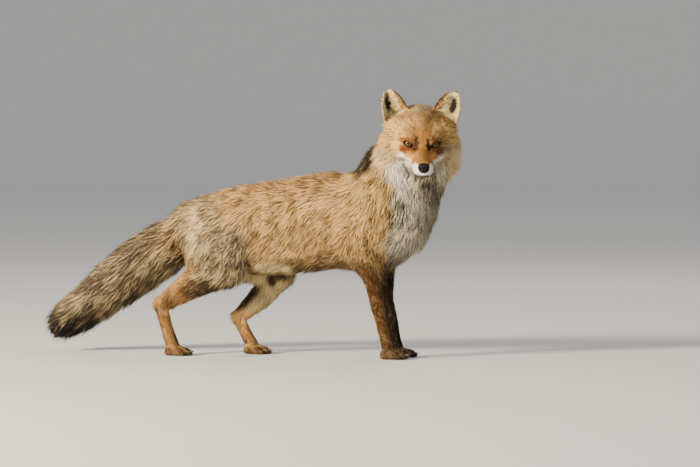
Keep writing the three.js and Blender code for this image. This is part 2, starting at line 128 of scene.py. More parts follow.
def in_body(head_points):
    """Points of the head's frame, in the body's."""
    return BETWEEN_EYES + np.asarray(head_points, float) @ HEAD.T


def in_head(body_points):
    """Points of the body's frame, in the head's."""
    return (body_points - BETWEEN_EYES) @ HEAD


NOSE = np.array([77.0, 0.0, -24.5])
EYE, EYE_RADIUS = np.array([4.0, 25.5, 3.0]), 10.5
nose_low, nose_high = (np.array(corner) * 1000 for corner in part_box("nose"))
SHIFT = (nose_low + nose_high) / 2 - in_body(NOSE)
SHIFT[2] = 0.0


def metres(p):
    """The fox's millimetres, where the CAD model stands, in metres."""
    return (p + SHIFT) / 1000


print("the CAD model stands", SHIFT.round(2), "mm from the fox's own frame")

# %% [markdown]
# ## The camera
#
# A long lens from far away, a little in front of the fox's right side and barely above its back.
# A long lens keeps the near and far legs about the same size, as binoculars do.

# %% Camera
CAMERA_AZIMUTH, CAMERA_HEIGHT_ANGLE, CAMERA_DISTANCE = math.radians(18), math.radians(2), 9.0
FIELD_WIDTH, SENSOR = 1.4, 36.0
AIM = np.array([142.7, 46.4, 245.0])
level, rise = math.cos(CAMERA_HEIGHT_ANGLE), math.sin(CAMERA_HEIGHT_ANGLE)
outward = np.array([math.sin(CAMERA_AZIMUTH) * level, -math.cos(CAMERA_AZIMUTH) * level, rise])
camera_data = bpy.data.cameras.new("camera")
camera_data.sensor_width = SENSOR
camera_data.lens = SENSOR * CAMERA_DISTANCE / FIELD_WIDTH
camera = bpy.data.objects.new("camera", camera_data)
camera.location = metres(AIM) + outward * CAMERA_DISTANCE
camera.rotation_euler = (math.pi / 2 - CAMERA_HEIGHT_ANGLE, 0, CAMERA_AZIMUTH)
bpy.context.scene.collection.objects.link(camera)
bpy.context.scene.camera = camera
print("lens", round(camera_data.lens), "mm")


# %% [markdown]
# ## Strands of flesh
#
# The fox's body could be pushed out of a box by hand, as sculptors do. Here it is a field: a
# number for each point in space, less than zero inside the fox. Each strand is a smooth line of
# knots with a radius at each knot, and gives the distance to its own surface. Strands melt into
# each other, so a leg flows into its shoulder with no seam. The same strands, a coat's depth
# thinner, give the skin under the coat.
#
# A strand also knows how its hair grows: how long and wide its tufts are, how many grow on a
# square centimetre, and whether they lie with the strand or against it.

# %% Curves
SPLINE_STEPS, SAME_PLACE = 4, 1e-4


def curve(knots):
    """A centripetal Catmull-Rom curve through the knots, cut into SPLINE_STEPS for each span."""
    k = np.asarray(knots, float).reshape(len(knots), -1)
    k = np.vstack([2 * k[0] - k[1], k, 2 * k[-1] - k[-2]])
    t = np.linspace(0, 1, SPLINE_STEPS, endpoint=False)[:, None]
    spans = []
    for a, b, c, d in zip(k[:-3], k[1:-2], k[2:-1], k[3:]):
        gap = [math.sqrt(np.linalg.norm(n - m)) for m, n in ((a, b), (b, c), (c, d))]
        gap[1] = gap[1] if gap[1] > SAME_PLACE else 1.0
        gap = [g if g > SAME_PLACE else gap[1] for g in gap]
        leave = ((b - a) / gap[0] - (c - a) / (gap[0] + gap[1]) + (c - b) / gap[1]) * gap[1]
        enter = ((c - b) / gap[1] - (d - b) / (gap[1] + gap[2]) + (d - c) / gap[2]) * gap[1]
        square = 3 * (c - b) - 2 * leave - enter
        cube = 2 * (b - c) + leave + enter
        spans.append(b + leave * t + square * t**2 + cube * t**3)
    return np.vstack([*spans, k[-2]])


print("a curve through three knots:", len(curve([(0, 0), (1, 0), (2, 1)])), "points")

# %% Hair of each zone
# hair: fur depth as a share of the radius, tuft length, tuft width, tufts to the square
# centimetre, which way the tufts lie along the strand, and how much they also fall
HAIR = {
    "trunk": dict(fur=0.20, long=30, wide=2.3, many=28, along=-1, fall=1.7),
    "bib": dict(fur=0.28, long=36, wide=2.4, many=25, along=1, fall=0.9),
    "neck": dict(fur=0.24, long=34, wide=2.4, many=26, along=-1, fall=1.0),
    "tail": dict(fur=0.42, long=48, wide=2.8, many=31, along=1, fall=0.25),
    "skull": dict(fur=0.14, long=11, wide=1.5, many=56, along=-1, fall=0.2),
    "muzzle": dict(fur=0.07, long=4.6, wide=0.9, many=115, along=-1, fall=0.1),
    "jaw": dict(fur=0.10, long=7, wide=1.2, many=64, along=-1, fall=0.2),
    "cheek": dict(fur=0.34, long=25, wide=1.7, many=46, along=1, fall=0.3),
    "pad": dict(fur=0.10, long=4.6, wide=0.9, many=115, along=-1, fall=0.3),
    "shoulder": dict(fur=0.24, long=25, wide=2.3, many=27, along=1, fall=1.2),
    "foreleg": dict(fur=0.17, long=13, wide=1.7, many=38, along=1, fall=0.2),
    "haunch": dict(fur=0.22, long=24, wide=2.2, many=29, along=-1, fall=1.1),
    "shank": dict(fur=0.20, long=18, wide=1.9, many=34, along=1, fall=0.3),
    "foot": dict(fur=0.16, long=11, wide=1.6, many=40, along=1, fall=0.1),
    "toe": dict(fur=0.12, long=6.5, wide=1.2, many=55, along=1, fall=0.0),
    "ear": dict(fur=0.0, long=4.5, wide=1.0, many=75, along=1, fall=0.0),
}
ZONES = list(HAIR)
print("zones of hair:", len(ZONES))

# %% Trunk, tail and head
LEFT = np.array([0.0, 1.0, 0.0])
HEAD_LEFT = HEAD @ LEFT
STRANDS = []


def strand(zone, knots, wide=1.0, melt=20.0, side=LEFT, place=np.asarray, comb=None):
    """Knots (x, y, z, radius), joined by curves, and squeezed sideways where wide is below 1. Its
    hair lies the way of comb, or else of the strand itself."""
    k = np.array(knots, float)
    line, swell = curve(place(k[:, :3])), curve(k[:, 3])[:, 0]
    shape = dict(line=line, swell=swell, wide=wide, melt=melt, side=side)
    STRANDS.append(dict(zone=zone, hair=HAIR[zone], comb=comb, **shape))


def head_strand(zone, knots, **how):
    """A strand on the head's middle line."""
    strand(zone, knots, side=HEAD_LEFT, place=in_body, **how)


def head_pair(zone, knots, comb=None, **how):
    """The same strand on the right and the left of the head."""
    for mirror in SIDES:
        mirrored = [(ahead, mirror * out, up, radius) for ahead, out, up, radius in knots]
        way = None if comb is None else HEAD @ (np.array(comb) * [1, mirror, 1])
        head_strand(zone, mirrored, comb=way, **how)


rump = [(-166, 0, 262, 46), (-125, 0, 252, 74), (-50, 0, 253, 92)]
ribs = [(40, 0, 261, 98), (130, 0, 272, 100), (200, 0, 268, 94)]
strand("trunk", rump + ribs, wide=0.72, melt=10)
strand("trunk", [(195, 0, 266, 86), (238, 0, 262, 74), (262, 0, 262, 58)], wide=0.84, melt=30)
neck = [(205, 0, 275, 92), (250, 2, 338, 86), (292, 4, 392, 80), (304, 0, 428, 66)]
strand("neck", neck, wide=0.86, melt=26)
strand("bib", [(262, -6, 372, 66), (282, -4, 318, 62), (262, 0, 278, 56)], wide=0.9, melt=24)
brush_root = [(-160, 0, 262, 44), (-231, 3, 217, 57), (-307, 8, 167, 55)]
brush_end = [(-376, 15, 117, 48), (-430, 20, 80, 40), (-462, 23, 60, 26)]
strand("tail", brush_root + brush_end, wide=0.94, melt=24)
skull = [(-68, 0, 12, 50), (-46, 0, 11, 47), (-24, 0, 3, 37), (-5, 0, -7, 28)]
head_strand("skull", skull, wide=1.12, melt=26)
head_strand("muzzle", [(-14, 0, -14, 30), (18, 0, -20, 23), (46, 0, -26, 18.5), (68, 0, -30, 15.5)], melt=14)
head_strand("jaw", [(-30, 0, -41, 24), (18, 0, -42, 14), (56, 0, -43, 9)], wide=1.15, melt=8)
cheek = [(-38, 42, 14, 28), (-46, 44, -8, 33), (-54, 46, -28, 35), (-60, 50, -46, 30)]
head_pair("cheek", cheek, melt=20, comb=[-0.42, 0.8, -0.42])
head_pair("pad", [(44, 10, -30, 13), (66, 8.5, -29.5, 12)], melt=7)
head_pair("skull", [(-22, 30, 8, 24), (-6, 27, 10, 17), (8, 20, 9, 11)], melt=10)
head_pair("skull", [(-16, 34, -14, 22), (4, 30, -13, 15), (24, 20, -17, 11)], melt=10)


print("strands of trunk, tail and head:", len(STRANDS))

# %% Legs
PAWS = {"right_fore": (249, -38), "left_fore": (244, 37), "right_hind": (-200, -50), "left_hind": (-66, 46)}
TOES = [(-15, 24), (-5.3, 33), (5.3, 33), (15, 24)]  # out from the middle of the foot, and forward


def foreleg(shoulder, leg, paw):
    """The shoulder and upper arm, and then the leg from the elbow down to the paw."""
    strand("shoulder", shoulder, wide=0.6, melt=24)
    strand("foreleg", [shoulder[-1], *leg, (*PAWS[paw], 18, 14.5)], wide=0.86, melt=8)


def hindleg(haunch, shank, foot):
    """The haunch, the shank down to the hock, and the long foot below it."""
    strand("haunch", haunch, wide=0.46, melt=22, comb=np.array([-0.8, 0, -0.6]))
    strand("shank", shank, wide=0.62, melt=14)
    strand("foot", foot, wide=0.9, melt=6)


foreleg(
    [(212, -36, 268, 58), (208, -44, 228, 44), (213, -45, 198, 35)],
    [(224, -43, 160, 26), (229, -40, 112, 17.5), (238, -38, 70, 14), (244, -38, 42, 12.5)],
    "right_fore",
)
foreleg(
    [(208, 36, 268, 58), (202, 44, 228, 44), (205, 45, 198, 35)],
    [(212, 42, 160, 26), (220, 39, 115, 17.5), (232, 37, 76, 14), (239, 37, 42, 12.5)],
    "left_fore",
)
hindleg(
    [(-122, -32, 246, 60), (-106, -42, 206, 71), (-94, -48, 178, 42)],
    [(-96, -48, 176, 40), (-160, -52, 141, 31), (-222, -51, 104, 17)],
    [(-224, -51, 104, 16.5), (-214, -50, 62, 13.5), (*PAWS["right_hind"], 20, 15)],
)
hindleg(
    [(-118, 32, 242, 60), (-66, 42, 208, 60), (-12, 46, 170, 38)],
    [(-8, 46, 166, 37), (-45, 47, 118, 27), (-92, 46, 76, 16)],
    [(-93, 46, 76, 15.5), (-81, 46, 48, 13), (*PAWS["left_hind"], 20, 14.5)],
)
for paw_x, paw_y in PAWS.values():
    strand("toe", [(paw_x - 3, paw_y, 9, 13.5), (paw_x + 10, paw_y, 7.5, 13)], wide=1.3, melt=5)
    for out, forward in TOES:
        tip_x, tip_y = paw_x + forward, paw_y + out
        toe = [(paw_x, paw_y + 0.55 * out, 14, 9), (tip_x - 7, tip_y, 8.5, 8), (tip_x, tip_y, 6, 6.5)]
        strand("toe", toe, wide=0.8, melt=3)
print("strands:", len(STRANDS))

# %% [markdown]
# ## The ears
#
# An ear is a cupped leaf: thin, wide at the bottom, pointed at the top, its rims curling forward.
# In its own frame it is a parabola swept up an axis, so a point's distance to it needs only how
# far the point is along the leaf, across it, and in front of it.

# %% Ear field
EAR_ROOT, EAR_TIP = np.array([-52.0, 46.0, 36.0]), np.array([-70.0, 68.0, 92.5])
EAR_WIDE, EAR_CUP, EAR_SKIN = 30.5, 13.0, 3.6
ear_axis = EAR_TIP - EAR_ROOT
EAR_START, EAR_LONG = EAR_ROOT - 0.22 * ear_axis, 1.22 * np.linalg.norm(ear_axis)
EAR_UP = unit(ear_axis)
ear_out = np.array([0.42, 0.86, -0.3])
EAR_ACROSS = unit(ear_out - (ear_out @ EAR_UP) * EAR_UP)
EAR_FRONT = np.cross(EAR_ACROSS, EAR_UP)
EAR_FRONT *= np.sign(EAR_FRONT[0])


def ear_place(h, mirror):
    """Where points of the head's frame are on one ear: along 0 to 1, across -1 to 1, in front (mm),
    the leaf's half width, the steepness of its cup, and how far past its ends (mm)."""
    q = h * [1, mirror, 1] - EAR_START
    height = q @ EAR_UP
    rise = np.clip(height / EAR_LONG, 0, 1)
    along = 1 - (1 - rise) ** (1 / 1.15)
    half = EAR_WIDE * (1 - along**2.4) ** 0.7 + 0.5
    across = q @ EAR_ACROSS / half
    cup = EAR_CUP * np.sqrt(1 - along**3) * (1 - 0.35 * along)
    front = q @ EAR_FRONT - cup * (np.clip(across, -1.3, 1.3) ** 2 - 0.5)
    return along, across, front, half, 2 * cup * across / half, np.maximum(height - EAR_LONG, -height)


def ear_distance(h, mirror, inset=1.4):
    """Distance to the ear's skin: the leaf's thickness, its rim and its tip, whichever is furthest."""
    along, across, front, half, slope, over = ear_place(h, mirror)
    leaf = np.abs(front) / np.sqrt(1 + slope**2) - EAR_SKIN / 2 * (1 - 0.35 * along)
    rim = (np.abs(across) - 1) * half * 0.85 + inset
    return np.maximum(np.maximum(leaf, rim), over + inset)


print("ear height", round(float(EAR_LONG)), "mm")

# %% [markdown]
# ## Lids and lips
#
# Around each eye the skin rises in a thin shell over the eyeball, and a lens shape is cut from
# the shell: the opening between the lids. Two circles that overlap make the lens. The mouth is a
# narrow slot along the upper lip's edge, only as deep as a crease.

# %% Lids and lips
EYE_OUT, EYE_UP, EYE_SLANT = math.radians(12), math.radians(13), math.radians(20)
EYE_TURN = turn_about(2, EYE_OUT) @ turn_about(1, -EYE_UP) @ turn_about(0, EYE_SLANT)
LID, LENS_RADIUS, LENS_OFFSET, SOCKET = 1.4, 12.0, 6.5, 9.0
LIP, CREASE_HALF, CREASE_START, CREASE_DEEP = -39.5, 0.9, 14, 2.6


def lip_height(h):
    """How high the mouth's line is, in the head's frame: it sinks a little to the sides."""
    return LIP - 0.005 * h[:, 1] ** 2


def melted(a, b, k):
    """The smaller of two distances, rounded off where they are within k of each other."""
    h = np.maximum(k - np.abs(a - b), 0) / k
    return np.minimum(a, b) - h * h * k / 4


def eye_place(h, mirror):
    """Points in one eye's frame: out along the gaze, across to the outer corner, and up."""
    return (h * [1, mirror, 1] - EYE) @ EYE_TURN


def lens(e):
    """Distance, in front of the eye, to the edge of the opening between the lids."""
    across = e[:, 1] + 0.4
    up = e[:, 2] + 0.3
    high = np.hypot(across, up + LENS_OFFSET)
    low = np.hypot(across, up - LENS_OFFSET)
    return np.maximum(high, low) - LENS_RADIUS


def face(h, f):
    """The field f with the lids, the openings of the eyes, the mouth's crease and the ears."""
    for mirror in SIDES:
        e = eye_place(h, mirror)
        around = np.linalg.norm(e, axis=1)
        shell = np.maximum(around - EYE_RADIUS - LID, 4 - e[:, 0])
        f = melted(f, shell, 5.0)
        opening = np.maximum(np.maximum(lens(e), SOCKET - around), 1 - e[:, 0])
        f = np.maximum(f, -opening)
        f = melted(f, ear_distance(h, mirror), 5.0)
    crease = np.maximum(np.abs(h[:, 2] - lip_height(h)) - CREASE_HALF, CREASE_START - h[:, 0])
    return np.maximum(f, -np.maximum(crease, -f - CREASE_DEEP))


print("the lids open", 2 * (LENS_RADIUS - LENS_OFFSET), "mm")

# %% The whole field
CULL = 45.0  # a strand isn't felt further than this from its surface
HEAD_REACH = 130.0
FAR = 1e3
SOLE = 0.4  # how high the skin's soles are over the CAD model's


def about_head(h):
    """Which points are on or near the head, its ears included."""
    return np.nonzero(np.linalg.norm(h + [20, 0, 0], axis=1) < HEAD_REACH)[0]


def reach(s, p, thin):
    """For one strand: each point's distance to its surface, its share along it, and the way of
    the nearest piece. The offset from the strand's line is stretched across by 1 / wide first."""
    best = np.full(len(p), FAR)
    share = np.zeros(len(p))
    way = np.zeros((len(p), 3))
    count = len(s["line"]) - 1
    for i in range(count):
        start, go = s["line"][i], s["line"][i + 1] - s["line"][i]
        t = np.clip((p - start) @ go / (go @ go), 0, 1)
        q = p - start - t[:, None] * go
        q = q + (q @ s["side"] * (1 / s["wide"] - 1))[:, None] * s["side"]
        radius = s["swell"][i] + (s["swell"][i + 1] - s["swell"][i]) * t
        d = np.linalg.norm(q, axis=1) - radius * (1 - thin * s["hair"]["fur"])
        near = d < best
        best[near], share[near], way[near] = d[near], (i + t[near]) / count, unit(go)
    return best, share, way


def near_strand(s, p):
    """Which points are near enough to a strand to feel it."""
    margin = s["swell"].max() * max(1, s["wide"]) + CULL
    return np.nonzero(np.all((p > s["line"].min(0) - margin) & (p < s["line"].max(0) + margin), axis=1))[0]


def field(p, thin=1.0):
    """The fox's field at each point: below zero inside. thin is 1 for the skin, 0 for the coat."""
    f = np.full(len(p), FAR)
    for s in STRANDS:
        near = near_strand(s, p)
        if len(near):
            f[near] = melted(f[near], reach(s, p[near], thin)[0], s["melt"])
    if thin == 0:
        return f
    h = in_head(p)
    near = about_head(h)
    if len(near):
        f[near] = face(h[near], f[near])
    return np.maximum(f, SOLE - p[:, 2])


print("field at the heart:", field(np.array([[180.0, 0, 260]]))[0].round(1), "mm")


# %% [markdown]
# ## One skin
#
# Marching cubes is the usual way from a field to a mesh. Surface nets are simpler and give better
# quads: each cell of a grid that the surface crosses gets one vertex, at the mean of the places
# where it crosses the cell's edges, and each crossed edge gets a quad that joins the four cells
# round it. The field is first worked out on a coarse grid, and finely only close to the surface.

# %% Surface nets
def between(values, factor):
    """A grid of values made finer by straight lines between its nodes, one axis after another."""
    for axis in range(3):
        n = values.shape[axis]
        at = np.arange((n - 1) * factor + 1) / factor
        low = np.minimum(at.astype(int), n - 2)
        share = (at - low).reshape([-1 if i == axis else 1 for i in range(3)])
        values = np.take(values, low, axis) * (1 - share) + np.take(values, low + 1, axis) * share
    return values


def surface_net(f, low, cell):
    """Vertices and quads of the surface where a grid of values changes sign."""
    inside = f < 0
    corners = [(n & 1, (n >> 1) & 1, n >> 2) for n in range(8)]
    size = np.array(f.shape) - 1
    view = [tuple(slice(c, c + n) for c, n in zip(corner, size)) for corner in corners]
    count = sum(inside[v].astype(np.uint8) for v in view)
    cells = np.argwhere((count > 0) & (count < 8))
    values = np.stack([f[tuple((cells + corner).T)] for corner in corners], 1)
    total, crossed = np.zeros((len(cells), 3)), np.zeros(len(cells))
    for a in range(8):
        for b in range(a + 1, 8):
            if bin(a ^ b).count("1") != 1:
                continue
            cross = (values[:, a] < 0) != (values[:, b] < 0)
            gap = np.where(cross, values[:, a] - values[:, b], 1)
            t = values[:, a] / gap
            place = np.array(corners[a]) + t[:, None] * (np.array(corners[b]) - corners[a])
            total += place * cross[:, None]
            crossed += cross
    points = low + cell * (cells + total / crossed[:, None])
    number = np.full(size, -1, np.int64)
    number[tuple(cells.T)] = np.arange(len(cells))
    quads = []
    for axis in range(3):
        b, c = np.eye(3, dtype=int)[(axis + 1) % 3], np.eye(3, dtype=int)[(axis + 2) % 3]
        ahead = np.roll(inside, -1, axis)
        nodes = np.argwhere((inside != ahead)[: size[0], : size[1], : size[2]])
        ring = [nodes - b - c, nodes - c, nodes, nodes - b]
        quad = np.stack([number[tuple(n.T)] for n in ring], 1)
        flip = ~inside[tuple(nodes.T)]
        quad[flip] = quad[flip][:, ::-1]
        quads.append(quad)
    return points, np.vstack(quads)


COARSE, FINE = 10.4, 4
CELL = COARSE / FINE
NET_LOW, NET_HIGH = np.array([-500.0, -190.0, -12.0]), np.array([400.0, 100.0, 560.0])
nodes = ((NET_HIGH - NET_LOW) / COARSE).astype(int) + 2
grid = np.stack(np.meshgrid(*[np.arange(n) for n in nodes], indexing="ij"), -1).reshape(-1, 3)
rough = field(NET_LOW + grid * COARSE).reshape(nodes)
fine = between(np.clip(rough, -60, 60), FINE)
close = np.argwhere(np.abs(fine) < COARSE * 1.1)
fine[tuple(close.T)] = field(NET_LOW + close * CELL)
skin_points, skin_quads = surface_net(fine, NET_LOW, CELL)
print("skin net:", len(skin_points), "vertices,", len(skin_quads), "quads")

# %% [markdown]
# ## Settling, and a finer face
#
# A net's vertices lie near the surface, not on it. Newton's step moves each along the field's
# slope by the distance it is off. The head has lids and lips that need more points, so its edges
# are cut in two, twice over round the eyes and nose, and the new points settle as well.

# %% Settle
PROBE, LEAST_SLOPE = 0.35, 0.3


def slope(p):
    """The field's gradient, from four probes at the corners of a small tetrahedron."""
    probes = np.array([[1, 1, 1], [1, -1, -1], [-1, 1, -1], [-1, -1, 1]]) * PROBE
    return sum(probe * field(p + probe)[:, None] for probe in probes) / (4 * PROBE**2)


def settle(p, passes, most):
    """Points moved onto the surface by Newton's step, -f g / |g|^2 for the field f and its slope
    g, none by more than most in a pass."""
    for _ in range(passes):
        g = slope(p)
        move = -field(p)[:, None] * g / np.maximum((g**2).sum(1, keepdims=True), LEAST_SLOPE)
        far = np.linalg.norm(move, axis=1, keepdims=True)
        p = p + move * np.minimum(1, most / np.maximum(far, 1e-9))
    return p


near_net = skin_points[::100]
print("the field's mean slope:", np.linalg.norm(slope(near_net), axis=1).mean().round(2))


# %% Skin mesh
def new_mesh(name, points, faces):
    """A mesh object of these points, in the fox's millimetres, and faces."""
    mesh = bpy.data.meshes.new(name)
    faces = np.asarray(faces)
    mesh.vertices.add(len(points))
    mesh.vertices.foreach_set("co", metres(points).astype(np.float32).ravel())
    mesh.loops.add(faces.size)
    mesh.loops.foreach_set("vertex_index", faces.ravel().astype(np.int32))
    mesh.polygons.add(len(faces))
    mesh.polygons.foreach_set("loop_start", np.arange(0, faces.size, faces.shape[1], dtype=np.int32))
    mesh.update(calc_edges=True)
    mesh.shade_smooth()
    made = bpy.data.objects.new(name, mesh)
    bpy.context.scene.collection.objects.link(made)
    return made


def points_of(mesh):
    """A mesh's vertices, in the fox's millimetres."""
    flat = np.zeros(len(mesh.vertices) * 3, np.float32)
    mesh.vertices.foreach_get("co", flat)
    return flat.reshape(-1, 3) * 1000.0 - SHIFT


def put_points(mesh, points):
    """The points back into the mesh."""
    mesh.vertices.foreach_set("co", metres(points).astype(np.float32).ravel())
    mesh.update()


skin = new_mesh("skin", settle(skin_points, 2, CELL), skin_quads)
print("skin:", len(skin.data.vertices), "vertices")

# %% A finer face
FINER_MOVE = 1.2  # how far a new vertex may move in a pass


def finer(mesh, chosen):
    """Cuts every edge between chosen vertices in two, and settles the new vertices."""
    bm = bmesh.new()
    bm.from_mesh(mesh)
    keep = chosen(in_head(points_of(mesh)))
    edges = [e for e in bm.edges if keep[e.verts[0].index] and keep[e.verts[1].index]]
    before = len(bm.verts)
    bmesh.ops.subdivide_edges(bm, edges=edges, cuts=1, use_grid_fill=True)
    bmesh.ops.triangulate(bm, faces=[f for f in bm.faces if len(f.verts) > 4])
    bm.to_mesh(mesh)
    bm.free()
    p = points_of(mesh)
    p[before:] = settle(p[before:], 2, FINER_MOVE)
    put_points(mesh, p)
    mesh.shade_smooth()


def on_face(h):
    """The front of the head, without the cheeks' ruff."""
    return (h[:, 0] > -34) & (np.linalg.norm(h - [20, 0, -15], axis=1) < 75)


def round_eyes(h):
    """The lids and what is next to them."""
    return np.linalg.norm(np.abs(h) - [9, EYE[1], EYE[2]], axis=1) < 17


def on_muzzle(h):
    """The end of the muzzle, its lips and chin."""
    return (h[:, 0] > 40) & (h[:, 2] < -12) & (np.abs(h[:, 1]) < 30) & (h[:, 2] > -62)


for part in (on_face, round_eyes, on_muzzle):
    finer(skin.data, part)
print("skin:", len(skin.data.vertices), "vertices,", len(skin.data.polygons), "faces")


# %% [markdown]
# ## How the coat lies
#
# A groomer strokes a fox from nose to tail and down the legs, and the hair lies that way. Each
# strand gives its own direction, near strands count most, and hair on an upright side also falls.
# The same weights give each point its zone: how long its tufts are and how closely they grow.

# %% Trimming the head
def near_spot(h, centre, sizes, core=0.55):
    """1 in the core of a spot and 0 outside it, an ellipsoid with the given half sizes."""
    return 1 - step(np.linalg.norm((h - centre) / sizes, axis=1), core, 1.1)


def trim_head(hair, near, h, on_ears):
    """Longer hair inside the ears and shorter on their rims, a sleek bridge and brow, and no tuft
    long enough to hang over an eye or the mouth. on_ears is each ear's share of each point."""
    for i, mirror in enumerate(SIDES):
        rise, across, front = ear_place(h, mirror)[:3]
        inner = step(front, -0.3, 0.4) * step(across, -0.8, -0.7)
        inner = inner * step(0.25 - across, 0, 0.3) * step(0.8 - rise, 0, 0.2)
        hair["long"][near] += 10 * on_ears[:, i] * inner
        rim = np.maximum(step(rise, 0.65, 0.88), step(np.abs(across), 0.7, 0.9) * step(rise, 0.2, 0.3))
        hair["long"][near] *= 1 - 0.5 * on_ears[:, i] * rim
    sleek = near_spot(h * [1, 0, 1] + np.abs(h) * [0, 1, 0], [14, 16, 0], [34, 30, 26])
    hair["long"][near] *= 1 - 0.45 * sleek
    hair["wide"][near] *= 1 - 0.25 * sleek
    hair["many"][near] *= 1 + 0.7 * sleek
    for mirror in SIDES:
        e = eye_place(h, mirror)
        room = np.where(e[:, 0] > -2, 1.2 + 0.8 * np.maximum(lens(e) - 1, 0), FAR)
        hair["long"][near] = np.minimum(hair["long"][near], room)
    by_mouth = (h[:, 0] > 12) & (np.abs(h[:, 1]) < 40)
    room = np.where(by_mouth, 1.4 + 0.9 * np.abs(h[:, 2] - lip_height(h)), FAR)
    hair["long"][near] = np.minimum(hair["long"][near], room)


middle_and_edge = np.array([[0, 0, 0], [1, 0, 0]])
print("a spot's middle and edge:", near_spot(middle_and_edge, [0, 0, 0], [1, 1, 1]).round(2))

# %% Survey of the skin
BLEND = 5.0  # how gently one strand's hair gives way to the next one's, in mm


def survey(p, n):
    """For each point of the skin with normal n: the share of each zone, how far along its nearest
    strand of that zone it is, the way its hair lies, and the zones' hair measures, blended."""
    closeness = np.full((len(p), len(STRANDS) + 2), FAR)
    along = np.zeros((len(p), len(ZONES)))
    nearest = np.full((len(p), len(ZONES)), FAR)
    ways = np.zeros((len(p), len(STRANDS) + 2, 3), np.float32)
    for i, s in enumerate(STRANDS):
        near = near_strand(s, p)
        d, share, way = reach(s, p[near], 1.0)
        closeness[near, i] = d
        ways[near, i] = way * s["hair"]["along"] if s["comb"] is None else s["comb"]
        zone = ZONES.index(s["zone"])
        nearer = d < nearest[near, zone]
        nearest[near[nearer], zone] = d[nearer]
        along[near[nearer], zone] = share[nearer]
    near = about_head(in_head(p))
    h = in_head(p[near])
    for i, mirror in enumerate(SIDES):
        closeness[near, len(STRANDS) + i] = ear_distance(h, mirror) - 1
        rise, across, front = ear_place(h, mirror)[:3]
        fan = np.where(front > 0, 1.3 * step(0.35 - across, -0.4, 0.4) - 0.35, 0.1)
        spread = EAR_UP * (0.45 + 0.55 * rise)[:, None] + EAR_ACROSS * fan[:, None]
        ways[near, len(STRANDS) + i] = (spread * [1, mirror, 1]) @ HEAD.T
    weight = np.exp(-(closeness - closeness.min(1, keepdims=True)) / BLEND)
    weight /= weight.sum(1, keepdims=True)
    zones = np.zeros((len(p), len(ZONES)))
    for i, zone in enumerate([s["zone"] for s in STRANDS] + ["ear", "ear"]):
        zones[:, ZONES.index(zone)] += weight[:, i]
    hair = {key: zones @ np.array([HAIR[z][key] for z in ZONES]) for key in ("long", "wide", "many", "fall")}
    trim_head(hair, near, h, weight[near, len(STRANDS) :])
    lie = (ways * weight[:, :, None]).sum(1)
    lie = unit(lie) + (hair["fall"] * (1 - np.abs(n[:, 2])))[:, None] * [0, 0, -1]
    lie = unit(lie - (lie * n).sum(1, keepdims=True) * n)
    return zones, along, lie, hair


def normals_of(mesh):
    """A mesh's vertex normals."""
    flat = np.zeros(len(mesh.vertices) * 3, np.float32)
    mesh.vertex_normals.foreach_get("vector", flat)
    return flat.reshape(-1, 3).astype(float)


skin_p, skin_n = points_of(skin.data), normals_of(skin.data)
zones, along, lie, hair = survey(skin_p, skin_n)
THINNEST, DEEPEST = 0.6, 30
depth = np.clip(-field(skin_p, 0), THINNEST, DEEPEST)
print("fur depth from", depth.min().round(1), "to", depth.max().round(1), "mm")

# %% [markdown]
# ## Markings
#
# A fox's colours sit in clear places: a white bib and muzzle, ochre flanks, a grizzled grey rump,
# dark stockings. They could be painted on a picture, but a picture is stuck to one unwrap. Here
# each marking is a soft mask worked out from where a point is on the body, and one function gives
# skin and coat alike their colour. It also says how many hairs there have dark tips or pale ones,
# which is what makes a coat look grizzled.
#
# In the functions that paint, p is a point and n its normal. x, y and z are the same point's
# place with some noise added, so that edges wander, and side is its distance from the middle. h
# is the point in the head's frame. zone gives how much of a point belongs to the zones it names.

# %% Palette and brush
PALETTE = {
    name: linear(code)
    for name, code in dict(
        ochre="#c59c60",
        rufous="#b4834f",
        grizzle="#a9926d",
        grey="#8f8270",
        buff="#917b5d",
        cream="#dfc48f",
        white="#f8f4ec",
        down="#f3d999",
        bib="#ddd1b6",
        orange="#bf8240",
        rust="#7b421b",
        brown="#644b34",
        russet="#94602f",
        hazel="#8a6136",
        umber="#3b2412",
        stocking="#644a31",
        black="#1e1713",
        ash="#867a6a",
        shade="#63594a",
        tan="#bd8c4d",
        fawn="#dfb16c",
        tawny="#e0a866",
        hock="#bf8b4e",
    ).items()
}
ZONE_OF = {zone: i for i, zone in enumerate(ZONES)}


def share_of(zones, *names):
    """How much of each point belongs to some zones: their shares, added up."""
    return sum(zones[:, ZONE_OF[name]] for name in names)


class Painter:
    """The colour of each point and its shares of dark-tipped and of pale-tipped hairs, and a
    brush that blends all three towards new values where a mask is above 0."""

    def __init__(self, count):
        self.colour = np.tile(PALETTE["ochre"], (count, 1))
        self.shares = np.tile([0.36, 0.22], (count, 1))

    def paint(self, mask, name, dark, pale):
        """Each value moves towards the new one by the mask's share: v + (new - v) * mask."""
        mask = np.clip(mask, 0, 1)[:, None]
        self.colour += (PALETTE[name] - self.colour) * mask
        self.shares += (np.array([dark, pale]) - self.shares) * mask


print("colours:", len(PALETTE))


# %% [markdown]
# ### The body's colours
#
# A fox's flanks are ochre, its back is redder, and its rump is grizzled: pale-banded hairs among
# dark ones. The bib runs from the chin down between the forelegs. Each colour could be a mesh of
# its own, but on a fox they fade into each other, so each is a soft mask laid over the last.

